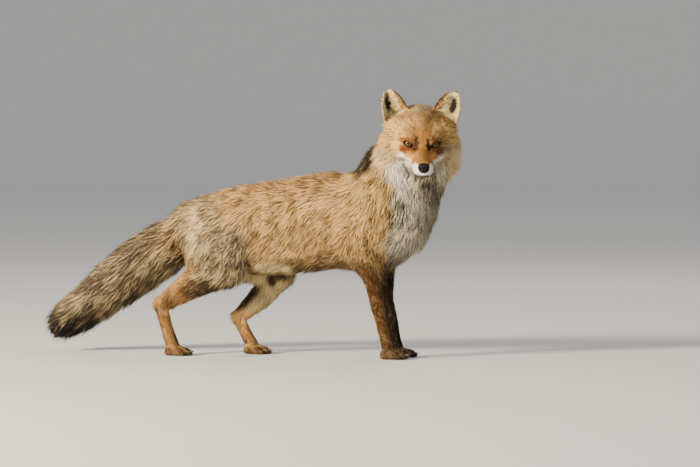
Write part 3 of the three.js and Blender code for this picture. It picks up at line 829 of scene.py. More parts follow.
# %% Body, neck and nape
def paint_body(brush, p, n, x, side, z, zone):
    """Ochre flanks, a redder back, a grizzled rump, a pale flank edge, a dark belly, and painted shade in the
    groin.
    """
    up, trunk = n[:, 2], zone("trunk")
    rear = zone("trunk", "haunch", "shank")
    folded = np.stack([x, side, z], 1)
    brush.paint(step(up, 0.4, 0.9) * step(x, -130, 10) * zone("trunk", "neck") * 0.85, "rufous", 0.58, 0.12)
    rump = step(-x - 60 + 0.6 * (300 - z), 0, 70) * rear
    brush.paint(rump * 0.9, "grizzle", 0.53, 0.42)
    brush.paint(rump * step(up, 0.45, 0.85) * 0.35, "brown", 0.6, 0.2)
    border = np.exp(-(((x + 50) / 32) ** 2)) * step(z, 170, 205) * step(285 - z, 0, 30) * rear
    brush.paint(border * 0.6, "grey", 0.56, 0.3)
    seat = np.exp(-(((x + 140) / 16) ** 2)) * step(side, 14, 34) * step(z, 180, 215) * step(312 - z, 0, 20)
    brush.paint(seat * 0.65 * zone("trunk", "haunch", "tail"), "cream", 0.12, 0.4)
    low_rear = step(-x, 118, 160) * step(222 - z, 0, 40) * zone("haunch", "shank")
    brush.paint(low_rear * 0.8, "hock", 0.3, 0.12)
    brush.paint(trunk * near_spot(folded, [84, 48, 216], [62, 34, 22]) * 0.5, "fawn", 0.2, 0.3)
    belly = step(-up, 0.34, 0.66) * step(x, 0, 40) * trunk
    # The belly's dark brown carries back between the thighs, and is deepened there as painted shade.
    groin_shade = near_spot(p, [-20, 0, 170], [52, 30, 24]) * zone("trunk", "haunch")
    brush.paint(np.maximum(belly * 0.66, groin_shade * 0.9), "brown", 0.6, 0.1)
    flank_edge = near_spot(folded, [18, 28, 190], [46, 30, 19]) * zone("trunk", "haunch")
    brush.paint(flank_edge * 0.85, "cream", 0.06, 0.4)


def paint_neck(brush, p, x, side, z, zone):
    """Streaked ochre sides, the pale bib with its dark partings and grey underside, and painted shade on the
    chest's front.
    """
    fore = zone("trunk", "neck", "bib", "shoulder", "cheek", "jaw", "skull")
    folded = np.stack([x, side, z], 1)
    brush.paint(zone("neck") * 0.8, "ochre", 0.26, 0.3)
    brush.paint(zone("neck", "shoulder") * step(z, 200, 240) * 0.4, "fawn", 0.24, 0.3)
    front = step(x - 0.16 * (z - 250) - 0.1 * side, 244, 262) * fore
    brush.paint(front * step(z, 196, 216), "bib", 0.26, 0.42)
    parted = near_spot(folded, [272, 46, 298], [24, 28, 66])
    partings = step(waves(p * [1, 1, 0.4], 8, 48), 0.15, 0.5)
    brush.paint(fore * parted * partings * 0.8, "umber", 0.8, 0.0)
    under_ruff = near_spot(folded, [236, 48, 353], [20, 30, 11])
    brush.paint(fore * under_ruff * step(waves(p, 14, 46), -0.2, 0.4) * 0.6, "umber", 0.5, 0.1)
    brush.paint(front * step(246 - z, 0, 44) * 0.75, "ash", 0.5, 0.25)
    brush.paint(fore * near_spot(folded, [219, 46, 212], [24, 28, 30]) * 0.85, "brown", 0.65, 0.1)
    # painted shade: the foremost part of the chest, under the head, darkened as if in its shadow
    brush.paint(fore * step(x - 0.16 * (z - 250), 291, 320) * step(394 - z, 0, 30) * 0.8, "shade", 0.36, 0.18)
    brush.paint(zone("shoulder") * step(222 - z, 0, 30) * step(x, 150, 175) * 0.6, "ash", 0.5, 0.25)


def paint_nape_and_shade(brush, p, n, x, y, z, zone):
    """A dark patch on the back of the neck, under the ruff of the cheeks, on the side it turns to. Its
    hair is dark, and the black laid over it is painted shade from the head.
    """
    back = 254 + 0.7 * (z - 398) - x
    nape_and_shade = step(back, 0, 14) * step(64 - back, 0, 18) * step(50 + y, 0, 14) * step(14 - y, 0, 24)
    nape_and_shade = nape_and_shade * step(z, 354, 378) * step(452 - z, 0, 20)
    nape_and_shade = np.clip(nape_and_shade * step(-n[:, 0], 0, 0.3) * (1.2 + 0.6 * waves(p * [1, 1, 0.5], 12, 45)), 0, 1)
    nape_and_shade = nape_and_shade * zone("trunk", "neck", "bib", "cheek", "skull")
    # The umber is the nape's dark hair. The black over it is painted shade from the head.
    brush.paint(nape_and_shade, "umber", 0.95, 0.0)
    brush.paint(nape_and_shade * 0.6, "black", 0.95, 0.0)


print("painters of the body, the neck and the nape")


# %% [markdown]
# ### The brush and the legs
#
# The brush is buff with dark blotches and ends dark. The stockings are nearly black in front and
# rusty behind. A band round the limb would look like a sock, so these masks also ask which way
# the skin faces: out or in, ahead or back, up or down.

# %% Tail and legs
def paint_tail(brush, p, along, up, zone):
    """Grizzled above, blotched dark below, with a pale patch near the end and a dark tip. Under its
    root it has painted light, and where it meets the thigh a painted shadow.
    """
    t, tail = along[:, ZONE_OF["tail"]], zone("tail")
    clump = waves(p, 25, 31)
    brush.paint(tail * step(t, 0.04, 0.2), "buff", 0.62, 0.33)
    brush.paint(tail * step(up, 0.5, 0.9) * step(t, 0.06, 0.16) * 0.55, "brown", 0.7, 0.15)
    brush.paint(tail * step(-up + 0.9 * clump, 0.3, 1.2) * step(t, 0.02, 0.2) * 0.5, "brown", 0.55, 0.35)
    brush.paint(tail * step(clump, 0.15, 0.7) * step(0.5 - t, 0, 0.15) * 0.45, "umber", 0.6, 0.2)
    # painted light: paler hair under the tail's root, where light from the ground falls
    brush.paint(tail * near_spot(p, [-216, -6, 190], [32, 40, 26]) * 0.7, "grizzle", 0.5, 0.35)
    # painted shadow: umber where the tail meets the thigh
    brush.paint(zone("tail", "shank") * near_spot(p, [-180, -8, 162], [32, 52, 26]) * 0.8, "umber", 0.6, 0.1)
    brush.paint(tail * step(t, 0.56, 0.66) * step(up, -0.35, 0.2) * 0.75, "grizzle", 0.55, 0.3)
    tip = np.maximum(step(t, 0.73, 0.81), step(t, 0.55, 0.7) * step(-up, 0.1, 0.5))
    brush.paint(tail * tip, "black", 0.9, 0.0)


def paint_forelegs(brush, n, x, y, z, zone):
    """Dark stockings with rusty backs and outsides, blackest in front, and black inside as painted shade."""
    fore = zone("foreleg", "toe", "shoulder") * step(x, 120, 150)
    ahead, outward = n[:, 0], n[:, 1] * np.sign(y)
    inside = step(-outward, -0.2, 0.6)
    above_paw = step(z, 10, 40)
    brush.paint(fore * step(206 - z, 0, 36), "stocking", 0.34, 0.12)
    outer_back = step(0.83 * outward - 0.55 * ahead, 0.2, 0.8)
    brush.paint(fore * outer_back * step(196 - z, 0, 24) * above_paw * 0.5, "russet", 0.25, 0.12)
    back = step(-ahead, 0.6, 0.95)
    brush.paint(fore * back * step(190 - z, 0, 24) * above_paw * 0.5, "russet", 0.25, 0.12)
    front = step(ahead + 0.2 * inside, 0.7, 1.0)
    brush.paint(fore * front * step(200 - z, 0, 30) * 0.6, "black", 0.5, 0.08)
    outside = step(outward, 0.2, 0.5)
    brush.paint(fore * outside * step(150 - z, 0, 30) * above_paw * 0.6, "hazel", 0.3, 0.12)
    # painted shade: black on the inner sides of the forelegs, which face away from the light
    brush.paint(fore * inside * step(190 - z, 0, 30) * 0.7, "black", 0.7, 0.02)


def paint_hindlegs(brush, n, x, y, z, zone):
    """Dark shanks, pale insides with a dark edge, and orange hocks and feet, with painted shade on the
    thighs and painted light inside the hocks and feet.
    """
    outward = n[:, 1] * np.sign(y)
    folded = np.stack([x, np.abs(y), z], 1)
    behind = step(-x, -60, -20)
    shank, foot = behind * zone("shank"), behind * zone("foot", "toe")
    thigh = behind * zone("shank", "haunch")
    # The lower thigh's brown hair, deepened as painted shade.
    brush.paint(thigh * near_spot(folded, [-125, 59, 139], [46, 32, 24]) * 0.9, "brown", 0.75, 0.1)
    brush.paint(shank * step(-x, 125, 175) * 0.5, "russet", 0.4, 0.14)
    inner = step(-outward, -0.1, 0.5) * behind * zone("shank", "haunch")
    brush.paint(inner * step(188 - z, 0, 20) * 0.92, "cream", 0.06, 0.3)
    rear_edge = step(-n[:, 0] + 0.6 * n[:, 2], 0.04, 0.44)
    brush.paint(inner * rear_edge * step(z, 76, 100) * 0.9, "umber", 0.8, 0.0)
    # painted shade: dark high on the inner thigh, where the body and the other leg shade it
    brush.paint(inner * near_spot(folded, [-2, 30, 166], [30, 22, 15]) * 0.85, "umber", 0.7, 0.0)
    brush.paint(foot, "hock", 0.3, 0.25)
    # Tawny insides of the hocks and feet: their own colour, made lighter as painted light where the far leg
    # stands in shade.
    brush.paint(inner * step(104 - z, 0, 24) * 0.9, "tawny", 0.1, 0.15)
    brush.paint(foot * step(-outward, -0.1, 0.5) * step(z, 30, 50) * 0.8, "tawny", 0.1, 0.15)
    brush.paint(foot * step(n[:, 0], 0.65, 0.95) * step(60 - z, 0, 20) * 0.9, "black", 0.5, 0.0)
    brush.paint(zone("toe") * behind * step(24 - z, 0, 14) * 0.8, "stocking", 0.5, 0.1)


print("painters of the tail, the forelegs and the hind legs")


# %% [markdown]
# ### The head's colours
#
# The face is what people look at: a white muzzle, an orange bridge, rust round the eyes, and a
# dark line from each eye towards the nose. These marks are small, so they are placed in the head's
# own frame, as ellipsoids whose edges fine noise makes ragged. One spot serves both sides.

# %% Head
def paint_head(brush, h, zone):
    """Tan brow, orange bridge, white muzzle and cheek flash, rusty eye surrounds, dark lines. Painted
    shade lies under the chin and on the throat, and painted light on the throat, the brow and below
    the ears.
    """
    head = zone("skull", "muzzle", "jaw", "cheek", "pad")
    near_head = step(h[:, 0], -110, -80) * step(120 - np.linalg.norm(h, axis=1), 0, 10)
    throat = near_head * zone("neck", "bib", "jaw", "cheek")
    ahead, out, up = h[:, 0], np.abs(h[:, 1]), h[:, 2]
    folded = np.stack([ahead, out, up], 1) + 1.6 * wave_vector(h, 9, (41, 42, 43))

    def spot(centre, sizes, core=0.55):
        """The same spot on both sides, its edge made ragged by noise."""
        return near_spot(folded, centre, sizes, core)

    brush.paint(head, "tan", 0.28, 0.22)
    brush.paint(head * step(-ahead, 34, 56) * step(up, 20, 44) * 0.7, "grizzle", 0.22, 0.4)
    brush.paint(head * spot([-20, 33, 14], [30, 22, 22]) * 0.75, "fawn", 0.12, 0.2)
    brush.paint(head * step(out - 0.25 * up, 32, 44) * 0.85, "fawn", 0.18, 0.42)
    # The brow's own pale fawn, laid on further as painted light where the brow is in shade.
    brush.paint(head * spot([-10, 28, 27], [22, 18, 15]) * 0.8, "fawn", 0.08, 0.12)
    # Greyish white at the cheek's edge on the fox's left only: pale cheek hair, greyed as painted shade on
    # the side turned from the light.
    brush.paint(head * step(h[:, 1], 30, 42) * step(-up, -6, 14) * 0.55, "bib", 0.34, 0.36)
    # Golden hair at the base of each ear, lightened further as painted light where the ear casts its shadow.
    brush.paint(zone("skull", "ear") * spot([-54, 33, 44], [20, 16, 16]) * 0.9, "tawny", 0.2, 0.05)
    ruff = near_head * zone("cheek", "neck") * step(out, 56, 66) * step(-ahead, 38, 52)
    brush.paint(ruff * 0.8, "ochre", 0.45, 0.2)
    brush.paint(head * step(-up, 8, 26) * step(out, 17, 26) * 0.9, "cream", 0.16, 0.4)
    brush.paint(throat * spot([-14, 34, -54], [40, 30, 22]) * 0.85, "bib", 0.12, 0.45)
    # painted light: the throat whiter on the fox's right, the side turned to the light
    brush.paint(throat * near_spot(h, [-14, -34, -56], [42, 32, 24]) * 0.6, "white", 0.04, 0.6)
    # painted shade: brown in the middle under the chin, and a shade colour on the throat's left side, where
    # the head's shadow falls
    brush.paint(throat * spot([16, 0, -58], [52, 13, 12]) * 0.85, "brown", 0.5, 0.05)
    brush.paint(throat * near_spot(h, [-26, 24, -74], [34, 26, 20]) * 0.75, "shade", 0.4, 0.1)
    bridge = step(ahead, -14, 8) * step(11 + 0.3 * np.maximum(ahead, 0) - out, 0, 5) * step(up, -34, -28)
    brush.paint(head * bridge, "orange", 0.06, 0.1)
    brush.paint(head * spot([20, 29, -6], [24, 26, 13], 0.5), "rust", 0.3, 0.06)
    brush.paint(head * spot([8, 31, 8], [22, 22, 8.5], 0.4) * 0.9, "rust", 0.5, 0.06)
    brush.paint(head * spot([14, 21, 12], [13, 9, 7], 0.4) * 0.75, "rust", 0.6, 0.05)
    brush.paint(head * spot([30, 20, -15], [16, 10, 11]) * 0.85, "orange", 0.05, 0.05)
    brush.paint(head * spot([15, 30, -29], [34, 19, 15.5], 0.64), "white", 0.0, 0.3)
    brush.paint(head * spot([-6, 27, -36], [32, 15, 11]) * 0.95, "white", 0.0, 0.5)
    brush.paint(head * spot([0, 19, -47], [36, 11, 12]) * 0.7, "white", 0.05, 0.2)
    muzzle_side = step(ahead, 56, 66) * step(out + 0.5 * np.minimum(-up - 22, 6), 9.5, 13)
    muzzle_low = step(ahead, 24, 40) * step(-up - 0.12 * (60 - ahead), 22, 26)
    front = step(ahead, 70, 75) * step(out, 9, 11.5)
    brush.paint(head * np.clip(muzzle_side + muzzle_low + front, 0, 1), "white", 0.0, 0.1)
    # painted shade: ash under the jaw, and a darker shade colour under the chin, where the muzzle's shadow
    # falls
    brush.paint(head * step(-up, 42, 47) * step(ahead, 24, 34) * 0.85, "ash", 0.3, 0.05)
    chin_shadow_paint = head * step(-up, 41, 46) * step(ahead, 24, 34) * step(14 - out, 0, 4)
    brush.paint(chin_shadow_paint * 0.95, "shade", 0.6, 0.0)
    brush.paint(head * spot([38, 21, -33], [22, 7, 6]) * 0.55, "ash", 0.1, 0.1)
    tear = spot([20, 13.5, -1], [16, 6, 7.5], 0.4) + spot([13, 11.5, 9], [14, 4.4, 10], 0.35) * 0.85
    tear = tear + spot([17, 11.5, 4], [14, 6, 7], 0.5) + spot([15, 15.5, 1], [11, 6, 9], 0.5) * 0.8
    brush.paint(head * np.clip(tear, 0, 1) * np.where(h[:, 1] > 0, 1.0, 0.9), "umber", 0.65, 0.0)
    for mirror in SIDES:
        e = eye_place(h, mirror)
        lid = (1 - step(lens(e), 0.7, 1.8)) * step(e[:, 0], 0, 3)
        brush.paint(lid * near_head, "black", 0.0, 0.0)
    lips = (1 - step(np.abs(up + 0.7 - lip_height(h)), 2.2, 3.0)) * step(ahead, 14, 20)
    brush.paint(head * lips, "black", 0.0, 0.0)


print("painter of the head")

# %% [markdown]
# ### The ears' colours
#
# An ear is pale inside, round a dark hollow, golden at its base and black behind. The leaf's own
# measures say where each belongs: how far up it, how far across it, and on which side.

# %% Ears
HOLLOW_ACROSS, HOLLOW_RISE = (0.2, 0.38), (0.56, 0.21)  # middle and half width, as shares of the ear


def ear_hollow(rise, across):
    """The dark hollow of an ear: a bell curve exp(-a^2 - b^2), 1 at its middle."""
    a = (across - HOLLOW_ACROSS[0]) / HOLLOW_ACROSS[1]
    b = (rise - HOLLOW_RISE[0]) / HOLLOW_RISE[1]
    return np.exp(-(a**2) - b**2)


def paint_ears(brush, h, zone):
    """Cream hair inside round a dark hollow, golden bases, a thin dark rim, and black backs."""
    for mirror in SIDES:
        rise, across, in_front = ear_place(h, mirror)[:3]
        ear = zone("ear") * (h[:, 1] * mirror > 0)
        inside = ear * step(in_front, -0.5, 0.5)
        brush.paint(ear, "tan", 0.15, 0.2)
        brush.paint(inside * step(rise, 0.1, 0.22) * step(across, -0.75, -0.5), "down", 0.0, 0.4)
        brush.paint(inside * ear_hollow(rise, across) * 1.8, "black", 0.2, 0.0)
        fold = near_spot(np.stack([rise, across], 1), [0.33, -0.1], [0.06, 0.25])
        brush.paint(inside * fold * 0.5, "brown", 0.2, 0.0)
        back = (ear - inside) * step(rise, 0.3, 0.5) * step(0.95 - across, 0, 0.3)
        brush.paint(back * 0.94, "black", 0.5, 0.0)
        outer = step(across, 0.2, 0.6) * step(0.36 - rise, 0, 0.14) + 0.9 * step(across, 0.74, 0.92)
        brush.paint(ear * np.clip(outer, 0, 1) * 0.9, "ochre", 0.3, 0.05)
        rim = step(-across, 0.74, 0.84) * step(rise, 0.3, 0.42) + step(rise, 0.91, 0.96)
        brush.paint(ear * rim * 0.9, "umber", 0.2, 0.0)


print("the middle of an ear's hollow:", ear_hollow(HOLLOW_RISE[0], HOLLOW_ACROSS[0]))


# %% Painting the skin
def markings(p, n, zones, along):
    """Colour at each point, with the shares of dark-tipped and of pale-tipped hairs."""
    x, y, z = (p + 4 * wave_vector(p, 34, (1, 2, 3))).T
    zone = functools.partial(share_of, zones)
    h = in_head(p)
    brush = Painter(len(p))
    paint_body(brush, p, n, x, np.abs(y), z, zone)
    paint_neck(brush, p, x, np.abs(y), z, zone)
    paint_tail(brush, p, along, n[:, 2], zone)
    paint_forelegs(brush, n, x, y, z, zone)
    paint_hindlegs(brush, n, x, y, z, zone)
    paint_head(brush, h, zone)
    paint_nape_and_shade(brush, p, n, x, y, z, zone)
    paint_ears(brush, h, zone)
    return brush.colour, *np.clip(brush.shares, 0, 1).T


skin_colour, skin_dark, _ = markings(skin_p, skin_n, zones, along)


def colour_attribute(mesh, name, colours):
    """A colour for each vertex, stored in the mesh under a name."""
    rgba = np.concatenate([colours, np.ones((len(colours), 1))], 1).astype(np.float32)
    mesh.attributes.new(name, "FLOAT_COLOR", "POINT").data.foreach_set("color", rgba.ravel())


colour_attribute(skin.data, "coat", skin_colour * (1 - 0.25 * skin_dark[:, None]))
print("skin painted, dark hairs on", round(100 * float(skin_dark.mean())), "% of it")


# %% [markdown]
# ## Shader sums
#
# Wiring node after node by hand hides what a material means. This small class wraps a socket, so
# that sums can be written as sums: 0.7 + 0.2 * noise adds two Math nodes. Any other node comes
# from one function, which sets the node up before it plugs in values or wires.

# %% Shader class
class Wire:
    """An output socket. Arithmetic on it adds Math nodes."""

    def __init__(self, socket):
        self.socket = socket

    def math(self, operation, other):
        """A Math node that works on this wire and another wire or number."""
        return node(self.socket.id_data, "Math", dict(operation=operation), {0: self, 1: other})

    def __add__(self, other):
        return self.math("ADD", other)

    def __sub__(self, other):
        return self.math("SUBTRACT", other)

    def __mul__(self, other):
        return self.math("MULTIPLY", other)

    def __rsub__(self, other):
        return (self * -1) + other

    __radd__, __rmul__ = __add__, __mul__


def node(tree, kind, settings=None, values=None, output=0):
    """A node of a kind: its settings first, then the values or wires of its sockets."""
    made = tree.nodes.new("ShaderNode" + kind)
    for key, value in (settings or {}).items():
        if key == "stops":
            ramp = made.color_ramp
            while len(ramp.elements) < len(value):
                ramp.elements.new(0.5)
            for element, (place, colour) in zip(ramp.elements, value):
                element.position, element.color = place, (*colour, 1)
        else:
            setattr(made, key, value)
    for key, value in (values or {}).items():
        socket = made.inputs[key]
        if isinstance(value, Wire):
            tree.links.new(value.socket, socket)
        else:
            socket.default_value = value
    return Wire(made.outputs[output])


def blend_colours(tree, share, a, b):
    """A colour between a and b, each the (red, green, blue) of a finish."""
    colours = {0: share, 6: (*a, 1), 7: (*b, 1)}
    return node(tree, "Mix", dict(data_type="RGBA"), colours, output=2)


def on_piece(tree):
    """Where a point is on the piece itself."""
    return node(tree, "TexCoord", output=3)


def noise(tree, scale, place=None, **values):
    """Soft noise fixed to the piece, with so many waves to the metre."""
    return node(tree, "TexNoise", None, {"Vector": place or on_piece(tree), "Scale": scale, **values})


def material(name, build, **constants):
    """A Principled material. build(tree) returns what varies; constants sit on the shader."""
    made = bpy.data.materials.new(name)
    made.use_nodes = True
    tree = made.node_tree
    tree.nodes.clear()
    shader = node(tree, "BsdfPrincipled", None, {**constants, **build(tree)})
    out = tree.nodes.new("ShaderNodeOutputMaterial")
    tree.links.new(shader.socket, out.inputs["Surface"])
    return made


print("shader sums: +, - and *")


# %% [markdown]
# ## Fur materials
#
# Hair scatters light softly and shines a little along its length. The tufts carry their colours
# as an attribute, dark at the root and banded to the tip, so the shader only has to add what is
# finer than a tuft: single hairs, as specks of lighter and darker colour. Their shading normal
# leans halfway to the body's, or so many small facets would sparkle like straw. The skin under
# the coat gets the grain of short hair as a bump.

# %% Fur materials
AS_COLOUR, AS_VECTOR = 0, 1


def vector_math(tree, operation, values):
    """A sum on colours or directions."""
    return node(tree, "VectorMath", dict(operation=operation), values)


def attribute(tree, name, output=AS_COLOUR):
    """What the mesh stores under a name, as a colour or as a vector."""
    return node(tree, "Attribute", dict(attribute_name=name), output=output)


def fur_build(tree):
    """The tuft's colour with single hairs in it, and a shading normal between facet and body."""
    coat = attribute(tree, "coat")
    place = on_piece(tree)
    hairs = noise(tree, 700.0, place, Detail=2.0, Roughness=0.6)
    patches = noise(tree, 60.0, place, Detail=3.0)
    shade = 0.78 + 0.28 * hairs + 0.16 * patches
    colour = vector_math(tree, "SCALE", {0: coat, "Scale": shade})
    facet = node(tree, "NewGeometry", output=1)
    body = attribute(tree, "body_normal", AS_VECTOR)
    lean = vector_math(tree, "MULTIPLY", {0: body, 1: (0.9, 0.9, 0.9)})
    soft = vector_math(tree, "NORMALIZE", {0: vector_math(tree, "ADD", {0: facet, 1: lean})})
    return {"Base Color": colour, "Normal": soft, "Roughness": 0.62 + 0.2 * patches}


def skin_build(tree):
    """The same colours under the coat, a little darker, with the grain of short hair."""
    coat = attribute(tree, "coat")
    hairs = noise(tree, 620.0, Detail=3.0, Roughness=0.65)
    shade = 0.72 + 0.42 * hairs
    colour = vector_math(tree, "SCALE", {0: coat, "Scale": shade})
    bump = node(tree, "Bump", None, {"Strength": 0.5, "Distance": 0.0012, "Height": hairs})
    return {"Base Color": colour, "Normal": bump, "Roughness": 0.7 + 0.2 * hairs}


FUR = material("fur", fur_build, **{"IOR": 1.4, "Specular IOR Level": 0.25})
SKIN = material("skin", skin_build, **{"IOR": 1.4, "Specular IOR Level": 0.2})
skin.data.materials.append(SKIN)
FLESH = [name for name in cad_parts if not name.startswith("eye") and name != "nose"]
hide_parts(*FLESH)
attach(skin, "root")
print("skin stands for", len(FLESH), "solids")

# %% [markdown]
# ## Tufts
#
# Hair curves would be the quick way in Blender, but they aren't a mesh, and a model made for use
# elsewhere loses them. So a tuft is a solid: a thin three-sided spike that leaves the skin at an
# angle, bends over and ends in a point. Long tufts get a joint halfway, short ones are straight.
#
# Roots are strewn over the skin's triangles, in proportion to area and to how closely hair grows
# there. Each tuft rises just enough to end at the outline of the coat. Neighbours lean the same
# way, through smooth noise, so that they gather into locks.

# %% Bare skin
def bare_skin(p):
    """1 where no tuft grows, and 0 elsewhere: the soles, the leather of the nose, the edges of the
    lips and lids, and the hollows of the ears."""
    h = in_head(p)
    soles = 1 - step(p[:, 2], 0.8, 2.5)
    leather = 1 - step(np.linalg.norm((h - NOSE) / [11, 12.4, 11.2], axis=1), 0.98, 1.1)
    off_lips = np.abs(h[:, 2] + 0.7 - lip_height(h))
    lips = (1 - step(off_lips, 2.1, 3.1)) * step(h[:, 0], 14, 20) * (np.abs(h[:, 1]) < 40)
    bare = np.maximum(np.maximum(soles, leather), lips)
    near = about_head(h)
    for mirror in SIDES:
        e = eye_place(h, mirror)
        bare = np.maximum(bare, (1 - step(lens(e), 0.8, 1.7)) * step(e[:, 0], 0, 2))
        rise, across, front = ear_place(h[near], mirror)[:3]
        on_ear = zones[near, ZONE_OF["ear"]] * (h[near, 1] * mirror > 0) * step(front, -0.3, 0.4)
        hole = on_ear * step(ear_hollow(rise, across), 0.45, 0.75)
        bare[near] = np.maximum(bare[near], hole)
    return bare


bare = bare_skin(skin_p)
print("bare skin:", round(100 * float(bare.mean()), 1), "% of the vertices")

# %% Roots
dice = np.random.default_rng(20)
skin.data.calc_loop_triangles()
corners = np.zeros(len(skin.data.loop_triangles) * 3, np.int32)
skin.data.loop_triangles.foreach_get("vertices", corners)
corners = corners.reshape(-1, 3)
edges = skin_p[corners[:, 1:]] - skin_p[corners[:, :1]]
area = np.linalg.norm(np.cross(edges[:, 0], edges[:, 1]), axis=1) / 2
growth = (hair["many"] / 100 * (1 - bare))[corners].mean(1) * area
total = np.cumsum(growth)
count = int(total[-1])
place = (np.arange(count) + dice.random(count)) * (total[-1] / count)
on = np.minimum(np.searchsorted(total, place), len(area) - 1)
share = dice.random((count, 2))
share = np.where(share.sum(1, keepdims=True) > 1, 1 - share, share)
share = np.concatenate([1 - share.sum(1, keepdims=True), share], 1)


def at_roots(values):
    """Values of the skin's vertices, at the roots."""
    v = values[corners[on]]
    return (v * share.reshape(*share.shape, *[1] * (v.ndim - 2))).sum(1)


root = {
    "p": at_roots(skin_p),
    "n": unit(at_roots(skin_n)),
    "lie": at_roots(lie),
    "zones": at_roots(zones),
    "along": at_roots(along),
    "depth": at_roots(depth),
    **{key: at_roots(hair[key]) for key in ("long", "wide")},
}
in_zones = functools.partial(share_of, root["zones"])
print("roots:", count)

# %% Shape of each tuft
OVER_FLOOR = 0.6  # no tuft bends lower than this
p, n = root["p"], root["n"]
dice.random(count)  # one throw that nothing uses, which keeps the later throws in their order
swirl = 0.20 * waves(p, 70, 11) + 0.14 * waves(p, 17, 12) + 0.11 * dice.normal(size=count)
lie_way = unit(root["lie"] - (root["lie"] * n).sum(1, keepdims=True) * n)
across_way = np.cross(n, lie_way)
lie_way = lie_way * np.cos(swirl)[:, None] + across_way * np.sin(swirl)[:, None]
across_way = np.cross(n, lie_way)
tail_end = step(root["along"][:, ZONE_OF["tail"]] * in_zones("tail"), 0.8, 1.0)
long = root["long"] * (1 - 0.45 * tail_end) * np.exp(0.16 * dice.normal(size=count))
long = long * (1 + 0.12 * waves(p, 24, 13))
wide = root["wide"] * np.exp(0.2 * dice.normal(size=count))
uneven = 1 + 0.14 * waves(p, 20, 14) + 0.10 * dice.normal(size=count)
lift = np.clip(root["depth"] * 0.98 / long, 0.10, 0.72) * uneven
lift = np.clip(lift * (1 + 0.5 * in_zones("cheek")), 0.06, 0.85)
first = np.clip(lift * 1.35, 0, 0.93)
second = np.clip(lift * 0.62, 0, 0.9)
gather = wave_vector(p, 12, (15, 16)) * 0.08


def heading(rise, lean):
    """A unit direction that lies along the coat, rises by a share, and leans across it."""
    flat = np.sqrt(np.maximum(1 - rise**2, 0))[:, None]
    return unit(lie_way * flat + n * rise[:, None] + across_way * lean[:, None])


start = p - n * np.minimum(1.0, root["depth"] * 0.4)[:, None]
middle = start + heading(first, gather[:, 0]) * (long * 0.5)[:, None]
tip = middle + heading(second, gather[:, 0] + 2 * gather[:, 1]) * (long * 0.5)[:, None]
for bent in (middle, tip):
    bent[:, 2] = np.maximum(bent[:, 2], OVER_FLOOR)
print("longest tuft", long.max().round(), "mm")

# %% [markdown]
# ## Colour along a tuft
#
# A guard hair is banded: grey at the root, the coat's colour along it, and on some hairs a dark
# or a pale end. The markings say how many of each kind grow at a place. Smooth noise decides
# where they gather, stretched along the lie of the coat, and chance decides the rest.

# %% Tuft colours
base, dark, pale = markings(p, n, root["zones"], root["along"])
bushy = in_zones("tail")
flow = p - lie_way * (p * lie_way).sum(1, keepdims=True) * 0.62
fine = waves(flow, 7.0, 21) * (1 - bushy) + 1.2 * waves(p, 15, 24) * bushy
streak = 0.5 + 0.36 * fine + 0.20 * waves(p, 26, 22) + 0.16 * dice.normal(size=count)
is_dark = step(dark * 1.15 - streak, -0.05, 0.12)
is_pale = step(pale * 1.15 - (1 - streak), -0.05, 0.12) * (1 - is_dark)
bright = np.exp(0.10 * dice.normal(size=count) + 0.07 * waves(p, 40, 23))
bright *= np.exp(0.2 * waves(p * [1, 1, 0.4], 9, 47) * in_zones("bib", "neck"))
base = base * bright[:, None]
shaggy = step(root["long"], 6, 22)[:, None]
underwool = base * np.array([0.92, 0.86, 0.78])
of_mask = in_zones("jaw", "muzzle", "pad", "skull")[:, None]
# The roots are the grey underwool. In long hair, the roots and middles are darkened further as painted shade
# deep in the coat.
root_colour = underwool * (0.72 - 0.38 * shaggy * (1 - 0.8 * of_mask))
mid_colour = base * (1 - 0.14 * shaggy - 0.5 * is_dark[:, None])
dark_end = base * 0.16 + PALETTE["black"] * 0.5
pale_end = base * 0.66 + PALETTE["cream"] * 0.5
plain_end = 1.08 * base * (1 - is_dark - is_pale)[:, None]
tip_colour = plain_end + dark_end * is_dark[:, None] + pale_end * is_pale[:, None]
print("dark tips", is_dark.mean().round(2), "pale tips", is_pale.mean().round(2))


# %% [markdown]
# ## Tufts as meshes
#
# All the tufts of a piece become one mesh at once, as arrays: three corners at the root, three
# halfway and a point. The coat is divided into pieces by zone and side, to keep each piece small.
# Each tuft also gets a patch of its own on a texture map, at its root's place on the skin
# unrolled round the piece's axis, so that its colours can be baked.

# %% Tuft meshes
PATCH = 0.003
FOOT_FACE = [[0, 2, 1]]
WALLS = [[0, 1, 4], [0, 4, 3], [1, 2, 5], [1, 5, 4], [2, 0, 3], [2, 3, 5]]
JOINTED = np.array(FOOT_FACE + WALLS + [[3, 4, 6], [4, 5, 6], [5, 3, 6]])
STRAIGHT = np.array(FOOT_FACE + [[0, 1, 3], [1, 2, 3], [2, 0, 3]])


def unrolled(points, centre, axis, seam):
    """Points unrolled round an axis: the angle from the seam, and the distance along the axis."""
    axis = unit(np.array(axis, float))
    seam = unit(seam - np.dot(seam, axis) * axis)
    q = points - centre
    angle = np.arctan2(q @ np.cross(axis, seam), q @ seam)
    flat = np.stack([angle, q @ axis], 1)
    low, high = flat.min(0), flat.max(0)
    return 0.01 + 0.97 * (flat - low) / np.maximum(high - low, 1e-6)


